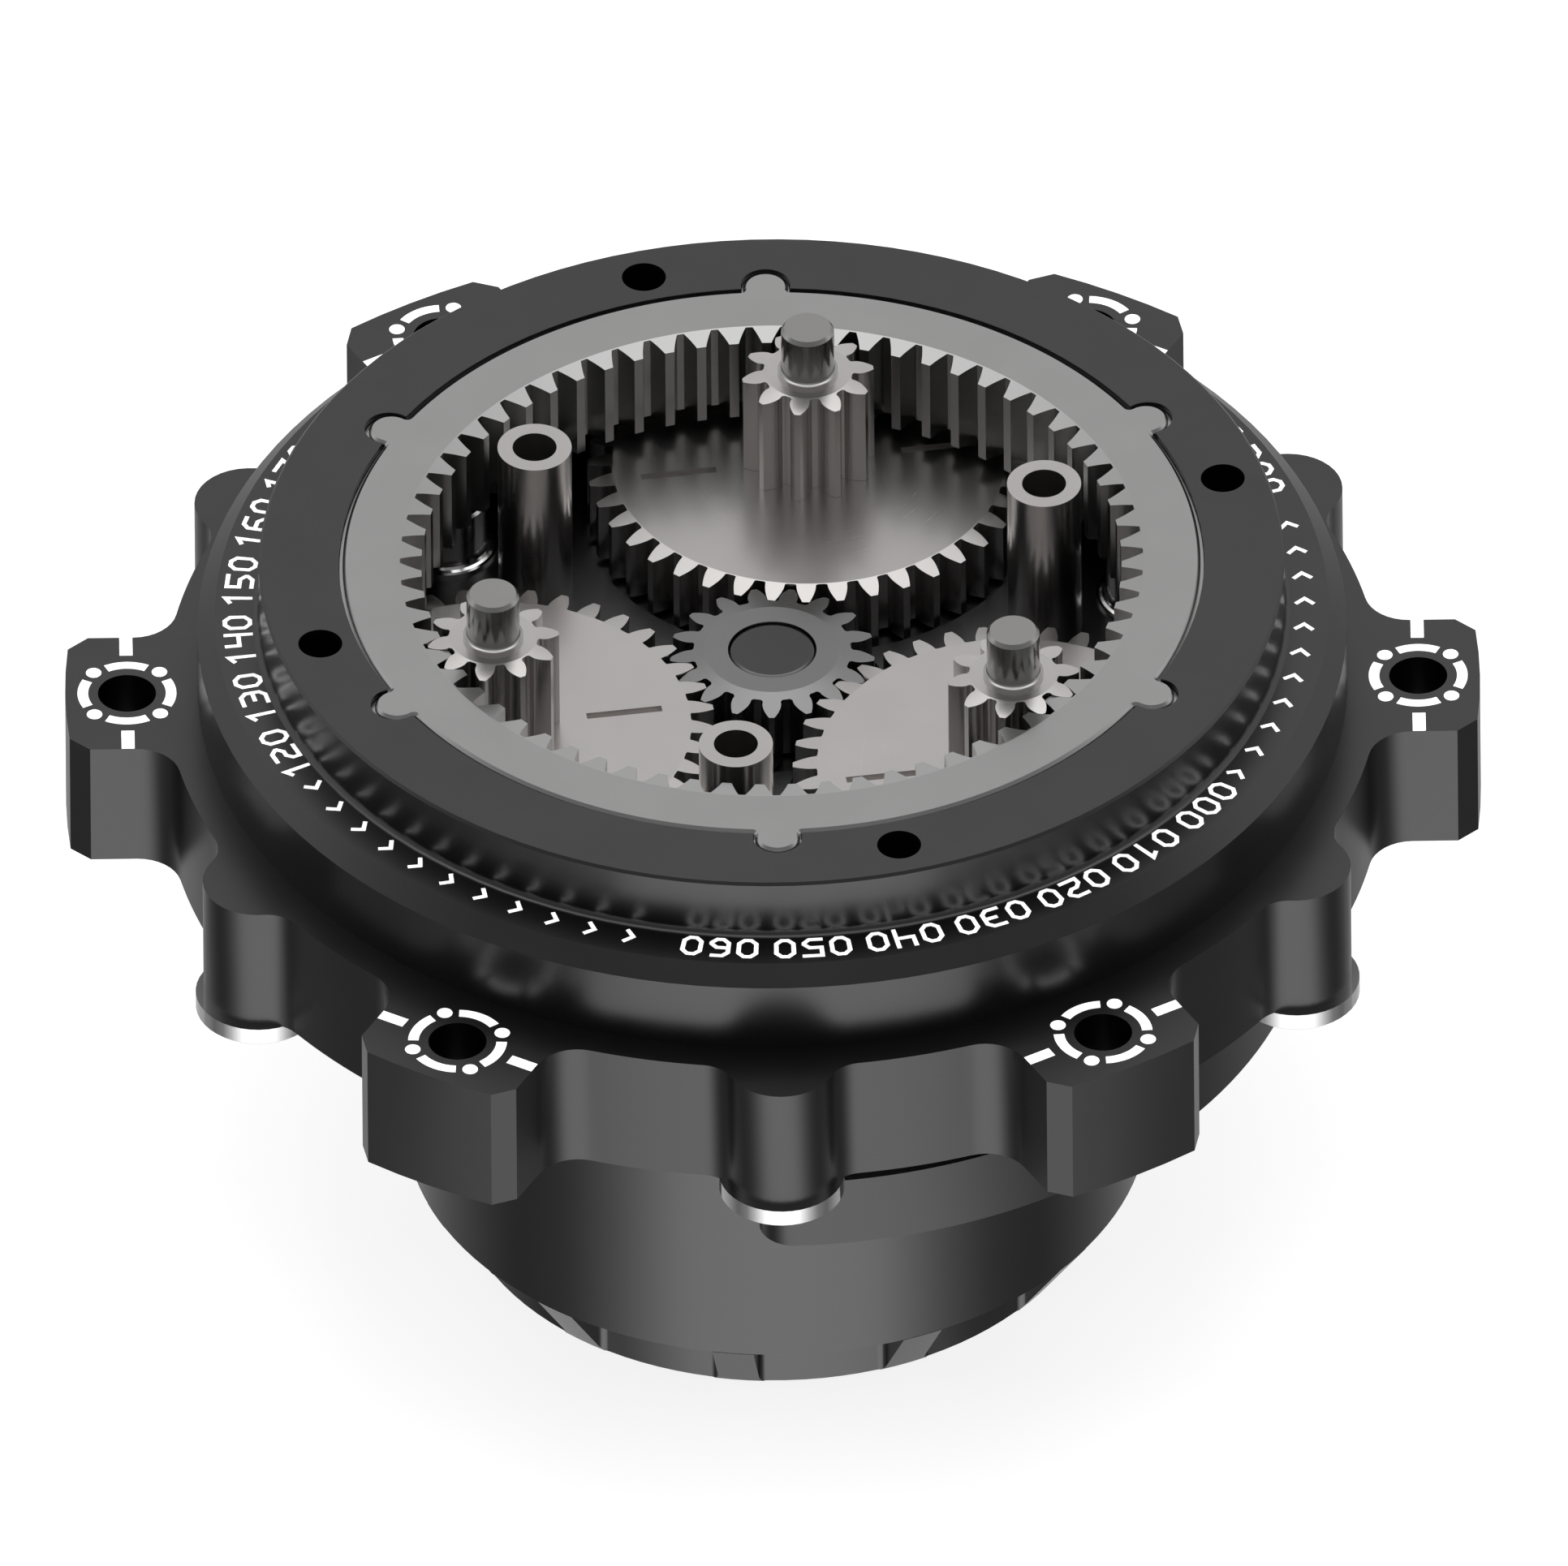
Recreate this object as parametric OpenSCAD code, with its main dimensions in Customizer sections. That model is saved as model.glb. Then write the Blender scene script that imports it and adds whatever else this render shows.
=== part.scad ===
// Compound planetary gear actuator: fixed carrier, turning housing, motor below.
// Millimetres. The main axis is Z, the lowest face is at z = 0, one lug is on +X.

/* [Overall] */
// distance from a lug hole out to the lug's end
lug_end = 3.5; // [2.5:0.1:5]
// distance from the housing wall out to the lug holes
lug_reach = 4; // [3:0.1:8]
// height of the lugs and of the housing's flange
lug_h = 8; // [6.5:0.1:9.6]
// width of one lug
lug_w = 10; // [7:0.1:12]
// length of the motor can
can_len = 19.4; // [16:0.1:23.4]
// radius of the motor can
can_r = 21; // [20:0.1:25.2]
// height of the end bell below the can
bell_h = 4.2; // [2:0.1:6]

/* [Gear train] */
// module of both stages
gear_m = 0.6; // [0.58:0.01:0.72]
// teeth of the sun
sun_t = 17; // [17:1:17]
// teeth of the planet's large gear
wheel_t = 40; // [40:1:40]
// teeth of the planet's pinion
pinion_t = 10; // [10:1:10]
// teeth of the ring gear
ring_t = 67; // [67:1:67]
// profile shift of the pinion and ring
pinion_x = 0.45; // [0.42:0.01:0.48]
// profile shift of the sun, taken off the large gear
sun_x = 0.17; // [0.1:0.01:0.2]
// thinning of each tooth for backlash
backlash = 0.04; // [0.02:0.01:0.08]
// face width of the large planet gear
wheel_h = 3.9; // [3:0.1:4.7]
// axial length of the ring gear
ring_h = 5.5; // [4.5:0.1:6]
// wall of the ring gear outside its teeth
ring_wall = 3.4; // [2.6:0.1:3.8]
// length of the planet journal above the pinion
journal_h = 3.2; // [1:0.1:5]
// radius of the planet journals
journal_r = 1.5; // [1.25:0.05:1.8]

/* [Housing] */
// housing wall outside the main bearing
bearing_wall = 1.5; // [1.2:0.1:3]
// width of the printed step, from the wall in to the raised register
step_w = 3.5; // [3:0.1:4.2]
// height of the register above the printed step
register_h = 3.7; // [3:0.1:4.4]
// width of the flange's ledge outside the wall
ledge_w = 1.84; // [1:0.02:2.4]
// pitch radius of the six bosses, counted from the wall
boss_reach = 1.4; // [1:0.05:2]
// radius of one boss
boss_r = 3.1; // [2.4:0.05:3.6]
// blend radius beside a boss
boss_blend = 2; // [0.8:0.1:2.4]
// blend radius beside a lug
lug_blend = 2.5; // [1:0.1:3]
// radius of the tapped lug holes
lug_bore = 1.65; // [1.25:0.05:2.1]
// distance from the ring gear out to the register holes
reg_hole_gap = 2.1; // [1.8:0.05:2.4]
// radius of the tapped M3 holes
tap_m3 = 1.25; // [1:0.05:1.35]

/* [Carrier and flange] */
// the posts stand this far inside the planets' pitch radius
post_inset = 0.35; // [0:0.05:1]
// radius of one post
post_r = 2.1; // [1.8:0.05:2.6]
// the clamp screws stand this far outside the planets' pitch radius
clamp_out = 6.1; // [5.8:0.05:6.4]
// radius of a clamp screw's head
clamp_head = 2.5; // [2:0.05:3]
// radius of the static half flange
half_r = 30.2; // [26:0.1:34]
// thickness of the static half flange
half_h = 4.55; // [3.5:0.05:5.5]

/* [Fits] */
// radial clearance of a running fit
run_fit = 0.02; // [0.01:0.01:0.06]
// radial clearance of a part that is held fast
seat_fit = 0.01; // [0.005:0.005:0.02]
// clearance of the large planet gears to the chamber's wall
pass_gap = 0.381; // [0.3:0.001:0.6]
// shoulder that holds the main bearing in the housing
bearing_lip = 1; // [0.6:0.1:1.5]

/* [Hidden] */
$fn = 72;
e = 0.01;
lug_count = 6;
planet_count = 3;
// heights
z_can = bell_h;                     // can's lower edge
z_can2 = z_can + can_len;           // can's open end
z_half = z_can2 - 4.0;              // half flange underside
z_half2 = z_half + half_h;          // half flange top
z_base = z_can2 + 4.4;              // housing's lower face
z_lug = z_base + lug_h;             // lug top
z_brg = 6;                          // main bearing width
z_step = z_base + 13.3;             // printed step
z_top = z_step + register_h;        // register face
z_ring = z_top - ring_h;            // ring gear's underside
z_roof = z_ring - 0.5;              // roof of the gear chamber
z_wheel = z_roof - 0.45;            // large gear's face
z_floor = z_wheel - wheel_h - 0.35; // carrier floor under the gears
z_pad = z_floor + 0.7;              // carrier pads between the gears
z_clamp = z_roof - 0.4;             // top of the clamp screws' heads, under the chamber's roof
// gear train
ctr = gear_m * (sun_t + wheel_t) / 2;
r_sun = gear_m * sun_t / 2;
r_wheel = gear_m * wheel_t / 2;
r_pin = gear_m * pinion_t / 2;
r_ring = gear_m * ring_t / 2;
tip_sun = r_sun + gear_m * (1 + sun_x);
root_sun = r_sun - gear_m * (1.25 - sun_x);
tip_wheel = r_wheel + gear_m * (1.035 - sun_x);
root_wheel = r_wheel - gear_m * (1.25 + sun_x);
tip_pin = r_pin + gear_m * (0.783 + pinion_x);
root_pin = r_pin - gear_m * (1.25 - pinion_x);
tip_ring = r_ring - gear_m * (0.95 - pinion_x);
root_ring = r_ring + gear_m * (1.067 + pinion_x);
az_planet = 82.3;                   // first planet
az_post = az_planet - 60;           // first post
a_wheel = 7.5;                      // a tooth of every large gear
a_pin = 7.8;                        // a tooth of every pinion
near_pin = a_pin + 360 / pinion_t * 2;
a_ring = az_planet + (near_pin - az_planet) * r_pin / r_ring;
near_wheel = a_wheel + 360 / wheel_t * 28;
a_sun = az_planet - (near_wheel - az_planet - 180) * r_wheel / r_sun + 180 / sun_t;
post_pr = ctr - post_inset;
clamp_pr = ctr + clamp_out;
screw_pr = 9.5;                     // motor screws, under the large gears
bearing_head = 3.55;                // flat heads that hold the main bearing from below
ring_out = root_ring + ring_wall;
key_r = 1.3;                        // half-round keys on the ring gear
key_pr = ring_out + 0.35;
// main bearing, 50 x 62 x 6, outside the planets' path
cavity_r = ctr + tip_wheel + pass_gap;
b_out = cavity_r + bearing_lip;
b_in = b_out - 6;
b_mid = b_in + 3;
ball_r = 1.5;
balls = 24;
// turned radii of the housing, from the bearing outwards
wall_r = b_out + bearing_wall;
register_r = wall_r - step_w;
reg_hole_r = ring_out + reg_hole_gap;
flange_r = wall_r + ledge_w;
boss_pr = wall_r + boss_reach;
lug_hole_r = wall_r + lug_reach;
lug_tip_r = lug_hole_r + lug_end;
// motor
shaft_r = 2.5;
can_in = can_r - 1.2;
mag_in = can_in - 1.25;
core_r = mag_in - 0.35;
tube_r = 9.45;
slot_in = tube_r + 2.75;            // bottom of the winding slots
slot_out = core_r - 1.6;            // where the slots close towards the tooth tips
tooth_hw = 1.72;                    // half the width of a stator tooth
coil_gap = 0.23;                    // insulation between tooth and coil
coil_w = 0.65;                      // width of one side of a coil
stator_teeth = 12;
poles = 14;
bell_r = can_in - 1.7;
bell_ribs = 12;
vent_in = 11.5;                     // cooling slots through the end bell, between its ribs
vent_out = 15.5;
vent_hw = 1.4;
rib_hw = 1.17;                      // half the width of one of the end bell's ribs
rib_fillet = 0.45;
rib_foot = 0.06;                    // the ribs stand out this far at the lowest face
rib_end = asin((rib_hw + rib_fillet) / (bell_r + rib_fillet));
rib_a = -97.5;                      // azimuth of one rib
cover_r = b_in + 1.4;
flange_bore = can_r + 0.8;
half_x = 1.25;                      // the half flange starts this far behind the axis
flange_pr = (flange_bore + half_r) / 2;
flange_hole_a = 22.62;              // holes this far either side of +X, and of the Y axis
// colours
c_black = [0.07, 0.07, 0.075];
c_dark = [0.13, 0.13, 0.14];
c_steel = [0.62, 0.62, 0.6];
c_bright = [0.8, 0.8, 0.8];
c_sun = [0.42, 0.42, 0.42];
c_copper = [0.72, 0.38, 0.18];

function inv_a(a) = tan(a) * 180 / PI - a;
function half_a(r, rp, s) =
    let (rb = rp * cos(20))
    s / (2 * rp) * 180 / PI + inv_a(20) - (r > rb ? inv_a(acos(rb / r)) : 0);
function pol(r, a) = [r * cos(a), r * sin(a)];
// closed outline of a gear; s is the tooth thickness on the pitch circle
function gear_pts(t, rp, s, tip, root, a0, n = 5) = [
    for (i = [0 : t - 1])
        let (a = a0 + i * 360 / t, base = rp * cos(20), lo = max(root, base), below = root < base - 0.02,
            hl = half_a(lo, rp, s))
        each concat(
            [pol(root, a - 180 / t)],
            below ? [pol(root, a - hl * 1.25), pol(root + (lo - root) * 0.35, a - hl)] : [],
            [for (k = [0 : n]) let (r = lo + (tip - lo) * k / n) pol(r, a - half_a(r, rp, s))],
            [for (k = [n : -1 : 0]) let (r = lo + (tip - lo) * k / n) pol(r, a + half_a(r, rp, s))],
            below ? [pol(root + (lo - root) * 0.35, a + hl), pol(root, a + hl * 1.25)] : [])
];
function thick(x) = gear_m * (PI / 2 + 2 * x * tan(20));
function arc(c, r, a1, a2, n) = [for (k = [0 : n]) c + pol(r, a1 + (a2 - a1) * k / n)];
function turn(p, a) = [p[0] * cos(a) - p[1] * sin(a), p[0] * sin(a) + p[1] * cos(a)];

// flange outline, one sixth: from the middle of a lug at 0 to the middle of the next at 60
lug_hw = lug_w / 2;
lc_a = asin((lug_hw + lug_blend) / (flange_r + lug_blend));
lc = pol(flange_r + lug_blend, lc_a);
bd = flange_r + boss_blend;
bc_off = acos((bd * bd + boss_pr * boss_pr - pow(boss_r + boss_blend, 2)) / (2 * bd * boss_pr));
bc1 = pol(bd, 30 - bc_off);
bc2 = pol(bd, 30 + bc_off);
bcen = pol(boss_pr, 30);
b_a1 = atan2(bc1[1] - bcen[1], bc1[0] - bcen[0]);
b_a2 = atan2(bc2[1] - bcen[1], bc2[0] - bcen[0]);
tip_a = asin((lug_hw - 1) / lug_tip_r);
corner_x = lug_tip_r * cos(tip_a) - 1.15;
sixth = concat(
    arc([0, 0], lug_tip_r, 0, tip_a, 2),
    [[corner_x, lug_hw]],
    arc(lc, lug_blend, 270, 180 + lc_a, 8),
    arc([0, 0], flange_r, lc_a + 1.2, 30 - bc_off - 1.2, 6),
    arc(bc1, boss_blend, 180 + 30 - bc_off, 180 + b_a1, 6),
    arc(bcen, boss_r, b_a1 + 6, b_a2 - 6, 12),
    arc(bc2, boss_blend, 180 + b_a2, 180 + 30 + bc_off, 6),
    arc([0, 0], flange_r, 30 + bc_off + 1.2, 60 - lc_a - 1.2, 6),
    arc(turn([lc[0], -lc[1]], 60), lug_blend, 60 + 180 - lc_a, 60 + 90, 8),
    [turn([corner_x, -lug_hw], 60)],
    [for (k = [0 : 1]) pol(lug_tip_r, 60 - tip_a + tip_a * k / 2)]
);

module ringsolid(r1, r2, z1, z2) {
    difference() {
        translate([0, 0, z1]) cylinder(h = z2 - z1, r = r2);
        translate([0, 0, z1 - 1]) cylinder(h = z2 - z1 + 2, r = r1);
    }
}
// turned blank that chamfers a gear's teeth at z2, from r_face down by drop at r_out
module toothcone(r_out, r_face, drop, z1, z2) {
    rotate_extrude() polygon([[0, z1], [r_out, z1], [r_out, z2 - drop], [r_face, z2], [0, z2]]);
}
module at(r, a) { rotate([0, 0, a]) translate([r, 0, 0]) children(); }
module hexbar(r, z1, z2) {
    translate([0, 0, z1]) linear_extrude(z2 - z1) polygon([for (k = [0 : 5]) pol(r, 60 * k)]);
}

// ---- turning side ----
module housing() {
    color(c_black) difference() {
        union() {
            translate([0, 0, z_base]) linear_extrude(lug_h)
                polygon([for (k = [0 : lug_count - 1]) each [for (p = sixth) turn(p, 60 * k)]]);
            rotate_extrude() polygon(concat(
                [[ring_out - 4.4, z_base + 1], [wall_r, z_base + 1], [wall_r, z_step - 1.05],
                    [wall_r - 1, z_step - 0.05], [register_r + 0.4, z_step]],
                arc([register_r + 0.4, z_step + 0.4], 0.4, 255, 180, 5),
                [[register_r, z_top - 0.15], [register_r - 0.15, z_top], [ring_out - 4.4, z_top]]));
        }
        translate([0, 0, z_base - 1]) cylinder(h = 1 + z_brg, r = b_out + seat_fit);
        translate([0, 0, z_base + z_brg - 1]) cylinder(h = z_roof - z_base - z_brg + 1, r = cavity_r);
        translate([0, 0, z_roof - 1]) cylinder(h = 4, r = ring_out - 1.8);
        translate([0, 0, z_ring]) cylinder(h = ring_h + 1, r = ring_out + 0.06);
        for (k = [0 : lug_count - 1]) {
            at(key_pr, 30 + 60 * k) translate([0, 0, z_ring]) cylinder(h = ring_h + 1, r = key_r + 0.1);
            at(lug_hole_r, 60 * k) translate([0, 0, z_base - 1]) cylinder(h = lug_h + 2, r = lug_bore);
            at(boss_pr, 30 + 60 * k) translate([0, 0, z_base - 1]) cylinder(h = 1 + 6.4, r = tap_m3);
        }
        for (k = [0 : 3]) at(reg_hole_r, 15 + 90 * k)
            translate([0, 0, z_top - 5]) cylinder(h = 6, r = tap_m3);
    }
}
module ring_gear() {
    color(c_steel) difference() {
        union() {
            rotate_extrude() polygon([
                [tip_ring - 0.5, z_ring], [ring_out, z_ring],
                [ring_out, z_top - 0.3], [ring_out - 0.3, z_top], [root_ring + 0.1, z_top],
                [tip_ring - 0.5, z_top - (root_ring + 0.1 - tip_ring + 0.5) * 0.15]]);
            for (k = [0 : lug_count - 1]) at(key_pr, 30 + 60 * k) translate([0, 0, z_ring])
                cylinder(h = ring_h - 0.1, r = key_r);
        }
        translate([0, 0, z_ring - 1]) linear_extrude(ring_h + 2)
            polygon(gear_pts(ring_t, r_ring, thick(pinion_x), root_ring, tip_ring, a_ring, 4));
    }
}
module main_bearing_outer() {
    color(c_bright) difference() {
        ringsolid(b_mid + 1.25, b_out, z_base, z_base + z_brg);
        rotate_extrude() translate([b_mid, z_base + z_brg / 2]) circle(r = ball_r + 0.05, $fn = 48);
    }
}
module main_bearing_shields() {
    color(c_steel) for (z = [z_base + 0.25, z_base + z_brg - 0.55])
        ringsolid(b_mid - 1.05, b_mid + 1.24, z, z + 0.3);
}
module bearing_screws() {
    color(c_bright) for (k = [0 : lug_count - 1]) at(boss_pr, 30 + 60 * k) difference() {
        union() {
            translate([0, 0, z_base - 1.1]) cylinder(h = 0.1, r1 = bearing_head - 0.1, r2 = bearing_head);
            translate([0, 0, z_base - 1]) cylinder(h = 1, r = bearing_head);
            translate([0, 0, z_base - 0.2]) cylinder(h = 6.2, r = tap_m3 - 0.03);
        }
        hexbar(1.15, z_base - 2, z_base - 0.4);
    }
}

// ---- planets ----
module wheel(k) {
    color(c_steel) at(ctr, az_planet + 120 * k) rotate([0, 0, -az_planet - 120 * k]) difference() {
        intersection() {
            translate([0, 0, z_wheel - wheel_h]) linear_extrude(wheel_h)
                polygon(gear_pts(wheel_t, r_wheel, thick(-sun_x) - backlash,
                    tip_wheel, root_wheel, a_wheel, 4));
            toothcone(tip_wheel + 1.5, root_wheel - 0.05, 0.4, z_wheel - wheel_h - 1, z_wheel);
        }
        translate([0, 0, z_wheel - wheel_h - 1]) cylinder(h = wheel_h + 2, r = root_pin - 0.27);
        for (s = [0, 180]) rotate([0, 0, 8 + s]) translate([5.3, -0.17, z_wheel - 0.12]) cube([4.3, 0.34, 1]);
    }
}
module pinion(k) {
    color(c_steel) at(ctr, az_planet + 120 * k) rotate([0, 0, -az_planet - 120 * k]) {
        intersection() {
            translate([0, 0, z_wheel + e]) linear_extrude(z_top - z_wheel - e)
                polygon(gear_pts(pinion_t, r_pin, thick(pinion_x) - backlash, tip_pin, root_pin, a_pin, 5));
            toothcone(tip_pin + 1.26, root_pin - 0.1, 0.36, z_wheel - 1, z_top);
        }
        rotate_extrude() polygon([
            [0, z_floor - 3.1], [journal_r - 0.15, z_floor - 3.1], [journal_r, z_floor - 2.95],
            [journal_r, z_floor + 0.05], [2.2, z_floor + 0.05], [2.2, z_wheel + 1], [1, z_wheel + 1],
            [1, z_top - 0.5], [journal_r + 0.2, z_top - 0.5],
            [journal_r + 0.2, z_top + 0.2], [journal_r, z_top + 0.3], [journal_r, z_top + journal_h - 0.15],
            [journal_r - 0.15, z_top + journal_h], [0, z_top + journal_h]]);
    }
}
module planet_gear_1() wheel(0);
module planet_gear_2() wheel(1);
module planet_gear_3() wheel(2);
module planet_pinion_1() pinion(0);
module planet_pinion_2() pinion(1);
module planet_pinion_3() pinion(2);

// ---- rotor ----
module sun_gear() {
    color(c_sun) difference() {
        intersection() {
            translate([0, 0, z_wheel - wheel_h - 0.1]) linear_extrude(wheel_h + 0.1)
                polygon(gear_pts(sun_t, r_sun, thick(sun_x) - backlash, tip_sun, root_sun, a_sun, 5));
            toothcone(tip_sun + 1.2, shaft_r + 1.32, 0.435, z_wheel - wheel_h - 1, z_wheel);
        }
        translate([0, 0, z_floor - 1]) cylinder(h = wheel_h + 4, r = shaft_r + seat_fit);
    }
}
module motor_shaft() {
    color(c_dark) rotate_extrude() polygon(concat(
        [[0, 0.4], [shaft_r - 0.2, 0.4], [shaft_r, 0.6]],
        arc([shaft_r - 0.28, z_wheel - 0.7 - 0.28], 0.28, 0, 90, 4),
        [[0, z_wheel - 0.7]]));
}
module rotor_can() {
    color(c_dark) rotate_extrude() polygon([
        [can_in, z_can], [can_r - 0.03, z_can], [can_r, z_can + 0.03],
        [can_r, z_can2 - 0.2], [can_r - 0.2, z_can2], [can_in, z_can2]]);
}
// one rib of the end bell about its middle at 0, with a fillet where each side meets the wall
rib_half = concat([[can_r + 1, rib_hw]],
    arc(pol(bell_r + rib_fillet, rib_end), rib_fillet, 270, 180 + rib_end, 6));
// outline of the bell with all its ribs
bell_side = [
    for (k = [0 : bell_ribs - 1]) let (a = rib_a + 360 / bell_ribs * k)
        each concat(
            [for (i = [len(rib_half) - 1 : -1 : 0]) turn([rib_half[i][0], -rib_half[i][1]], a)],
            [for (q = rib_half) turn(q, a)],
            [for (i = [1 : 5]) pol(bell_r, a + rib_end + (360 / bell_ribs - 2 * rib_end) * i / 6)])];
module end_bell() {
    color(c_dark) difference() {
        union() {
            intersection() {
                linear_extrude(z_can) polygon(bell_side);
                rotate_extrude() polygon([[0, 0], [bell_r + rib_foot, 0], [can_r, z_can], [0, z_can]]);
            }
            translate([0, 0, z_can - 1]) cylinder(h = 1.5, r = bell_r - 0.5);
            translate([0, 0, z_can]) cylinder(h = 1.6, r = can_in - seat_fit);
        }
        translate([0, 0, -1]) cylinder(h = z_can + 9, r = shaft_r + seat_fit);
        difference() {
            translate([0, 0, -1]) cylinder(h = 2, r = 9);
            translate([0, 0, -1.5]) cylinder(h = 3, r = 4.6);
        }
        for (k = [0 : bell_ribs - 1]) rotate([0, 0, rib_a + 360 / bell_ribs * (k + 0.5)]) {
            translate([vent_in, -vent_hw, -1]) cube([vent_out - vent_in, 2 * vent_hw, z_can + 4]);
            for (x = [vent_in, vent_out]) translate([x, 0, -1]) cylinder(h = z_can + 4, r = vent_hw);
        }
    }
}
module magnets() {
    color(c_bright) difference() {
        ringsolid(mag_in, can_in - seat_fit, z_can + 2.6, z_can2 - 1.4);
        for (k = [0 : poles - 1]) rotate([0, 0, 360 / poles * k])
            translate([mag_in - 2, -0.3, z_can]) cube([6, 0.6, can_len]);
    }
}

// ---- static side ----
module carrier_base() {
    color(c_dark) difference() {
        union() {
            translate([0, 0, z_base + 0.1]) cylinder(h = z_floor - z_base - 0.1, r = b_in - seat_fit);
            difference() {
                translate([0, 0, z_base + z_brg]) cylinder(h = z_pad - z_base - z_brg, r = cover_r);
                for (k = [0 : planet_count - 1]) at(ctr, az_planet + 120 * k)
                    translate([0, 0, z_base + 2]) cylinder(h = 12, r = tip_wheel + pass_gap + 0.05);
                translate([0, 0, z_base + 2]) cylinder(h = 12, r = tip_sun + 0.8);
            }
        }
        translate([0, 0, z_base - 1]) cylinder(h = 20, r = 3.2);
        for (k = [0 : planet_count - 1]) {
            at(post_pr, az_post + 120 * k) translate([0, 0, z_pad - 4.1]) cylinder(h = 6, r = 1.5 + seat_fit);
            at(clamp_pr, az_post + 120 * k) translate([0, 0, z_base - 1]) cylinder(h = 20, r = 1.3);
            at(ctr, az_planet + 120 * k) {
                translate([0, 0, z_floor - 2.5]) cylinder(h = 6, r = 3 + seat_fit);
                translate([0, 0, z_floor - 3.6]) cylinder(h = 3, r = 2.2);
            }
            at(screw_pr, az_planet + 120 * k) {
                translate([0, 0, z_base - 1]) cylinder(h = 12, r = 1.6);
                translate([0, 0, z_floor - 1.7]) cylinder(h = 1.71, r1 = 1.6, r2 = 3.3);
            }
        }
    }
}
module post(k) {
    color(c_bright) at(post_pr, az_post + 120 * k) difference() {
        union() {
            translate([0, 0, z_pad]) cylinder(h = z_top + 0.2 - z_pad, r = post_r);
            translate([0, 0, z_pad - 4]) cylinder(h = 4.5, r = 1.5);
        }
        translate([0, 0, z_top - 7.8]) cylinder(h = 12, r = tap_m3);
    }
}
module post_1() post(0);
module post_2() post(1);
module post_3() post(2);
module clamp_screws() {
    color(c_bright) for (k = [0 : planet_count - 1]) at(clamp_pr, az_post + 120 * k) difference() {
        rotate_extrude() polygon(concat(
            [[0, z_half2 + 0.4], [tap_m3 - 0.03, z_half2 + 0.4], [tap_m3 - 0.03, z_pad],
                [clamp_head + 0.55, z_pad], [clamp_head + 0.55, z_pad + 0.2]],
            arc([clamp_head + 0.55, z_pad + 0.75], 0.55, 270, 180, 5),
            [[clamp_head, z_clamp - 0.15], [clamp_head - 0.15, z_clamp], [0, z_clamp]]));
        hexbar(1.2, z_clamp - 1.6, z_clamp + 1);
    }
}
module motor_screws() {
    color(c_bright) for (k = [0 : planet_count - 1]) at(screw_pr, az_planet + 120 * k) difference() {
        union() {
            translate([0, 0, z_base - 2.6]) cylinder(h = z_floor - z_base + 1.2, r = tap_m3 - 0.03);
            translate([0, 0, z_floor - 1.75]) cylinder(h = 1.7, r1 = tap_m3 - 0.03, r2 = tap_m3 + 1.67);
        }
        hexbar(1.0, z_floor - 1.2, z_floor + 1);
    }
}
module pbearing(k) {
    color(c_bright) at(ctr, az_planet + 120 * k) ringsolid(journal_r + run_fit, 3, z_floor - 2.5, z_floor);
}
module planet_bearing_1() pbearing(0);
module planet_bearing_2() pbearing(1);
module planet_bearing_3() pbearing(2);
module main_bearing_inner() {
    color(c_bright) difference() {
        ringsolid(b_in, b_mid - 1.25, z_base, z_base + z_brg);
        rotate_extrude() translate([b_mid, z_base + z_brg / 2]) circle(r = ball_r + 0.05, $fn = 48);
    }
}
module main_bearing_balls() {
    color(c_bright) for (k = [0 : balls - 1]) at(b_mid, 360 / balls * k)
        translate([0, 0, z_base + z_brg / 2]) sphere(r = ball_r, $fn = 24);
}
module main_bearing_cage() {
    color(c_dark) difference() {
        ringsolid(b_mid - 0.4, b_mid + 0.4, z_base + 1.0, z_base + z_brg - 1.0);
        for (k = [0 : balls - 1]) at(b_mid, 360 / balls * k)
            translate([0, 0, z_base + z_brg / 2]) sphere(r = ball_r + 0.04, $fn = 24);
    }
}
hc = [2 - half_x, sqrt(pow(half_r - 2, 2) - pow(2 - half_x, 2))];
hc_a = atan2(hc[1], hc[0]);
module half_flange() {
    color(c_black) difference() {
        union() {
            translate([0, 0, z_half]) linear_extrude(half_h) polygon(concat(
                arc([hc[0], -hc[1]], 2, 180, 360 - hc_a, 8),
                arc([0, 0], half_r, -hc_a + 2, hc_a - 2, 86),
                arc(hc, 2, hc_a, 180, 8)));
            translate([0, 0, z_half2 - 0.5]) cylinder(h = z_base - z_half2 + 0.5, r = cover_r);
        }
        translate([0, 0, z_half - 1]) cylinder(h = half_h + 0.9, r = flange_bore);
        translate([0, 0, z_half]) cylinder(h = 20, r = 16.5);
        difference() {
            translate([0, 0, z_half2 - 0.6]) cylinder(h = 0.65, r = 27);
            translate([-1, -40, z_half2 - 1]) cube([60, 80, 3]);
        }
        for (k = [0 : planet_count - 1]) at(clamp_pr, az_post + 120 * k)
            translate([0, 0, z_half2 + 0.1]) cylinder(h = 6, r = tap_m3);
        for (a = [flange_hole_a, 90 - flange_hole_a]) for (s = [-1, 1])
            at(flange_pr, s * a) translate([0, 0, z_half - 1]) cylinder(h = 5, r = lug_bore);
    }
}
module motor_base() {
    color(c_black) difference() {
        union() {
            translate([0, 0, z_base - 3]) cylinder(h = 3.05, r = 16.4);
            translate([0, 0, z_can + 2.2]) cylinder(h = z_base - 1 - z_can - 2.2, r = tube_r);
        }
        translate([0, 0, 0]) cylinder(h = z_top, r = 5);
        for (k = [0 : planet_count - 1]) at(screw_pr, az_planet + 120 * k)
            translate([0, 0, z_base - 2.8]) cylinder(h = 6, r = tap_m3);
    }
}
module motor_bearing(z) { color(c_bright) ringsolid(shaft_r + run_fit, 5 - seat_fit, z, z + 4); }
module motor_bearing_front() motor_bearing(z_base - 4.1);
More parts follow.
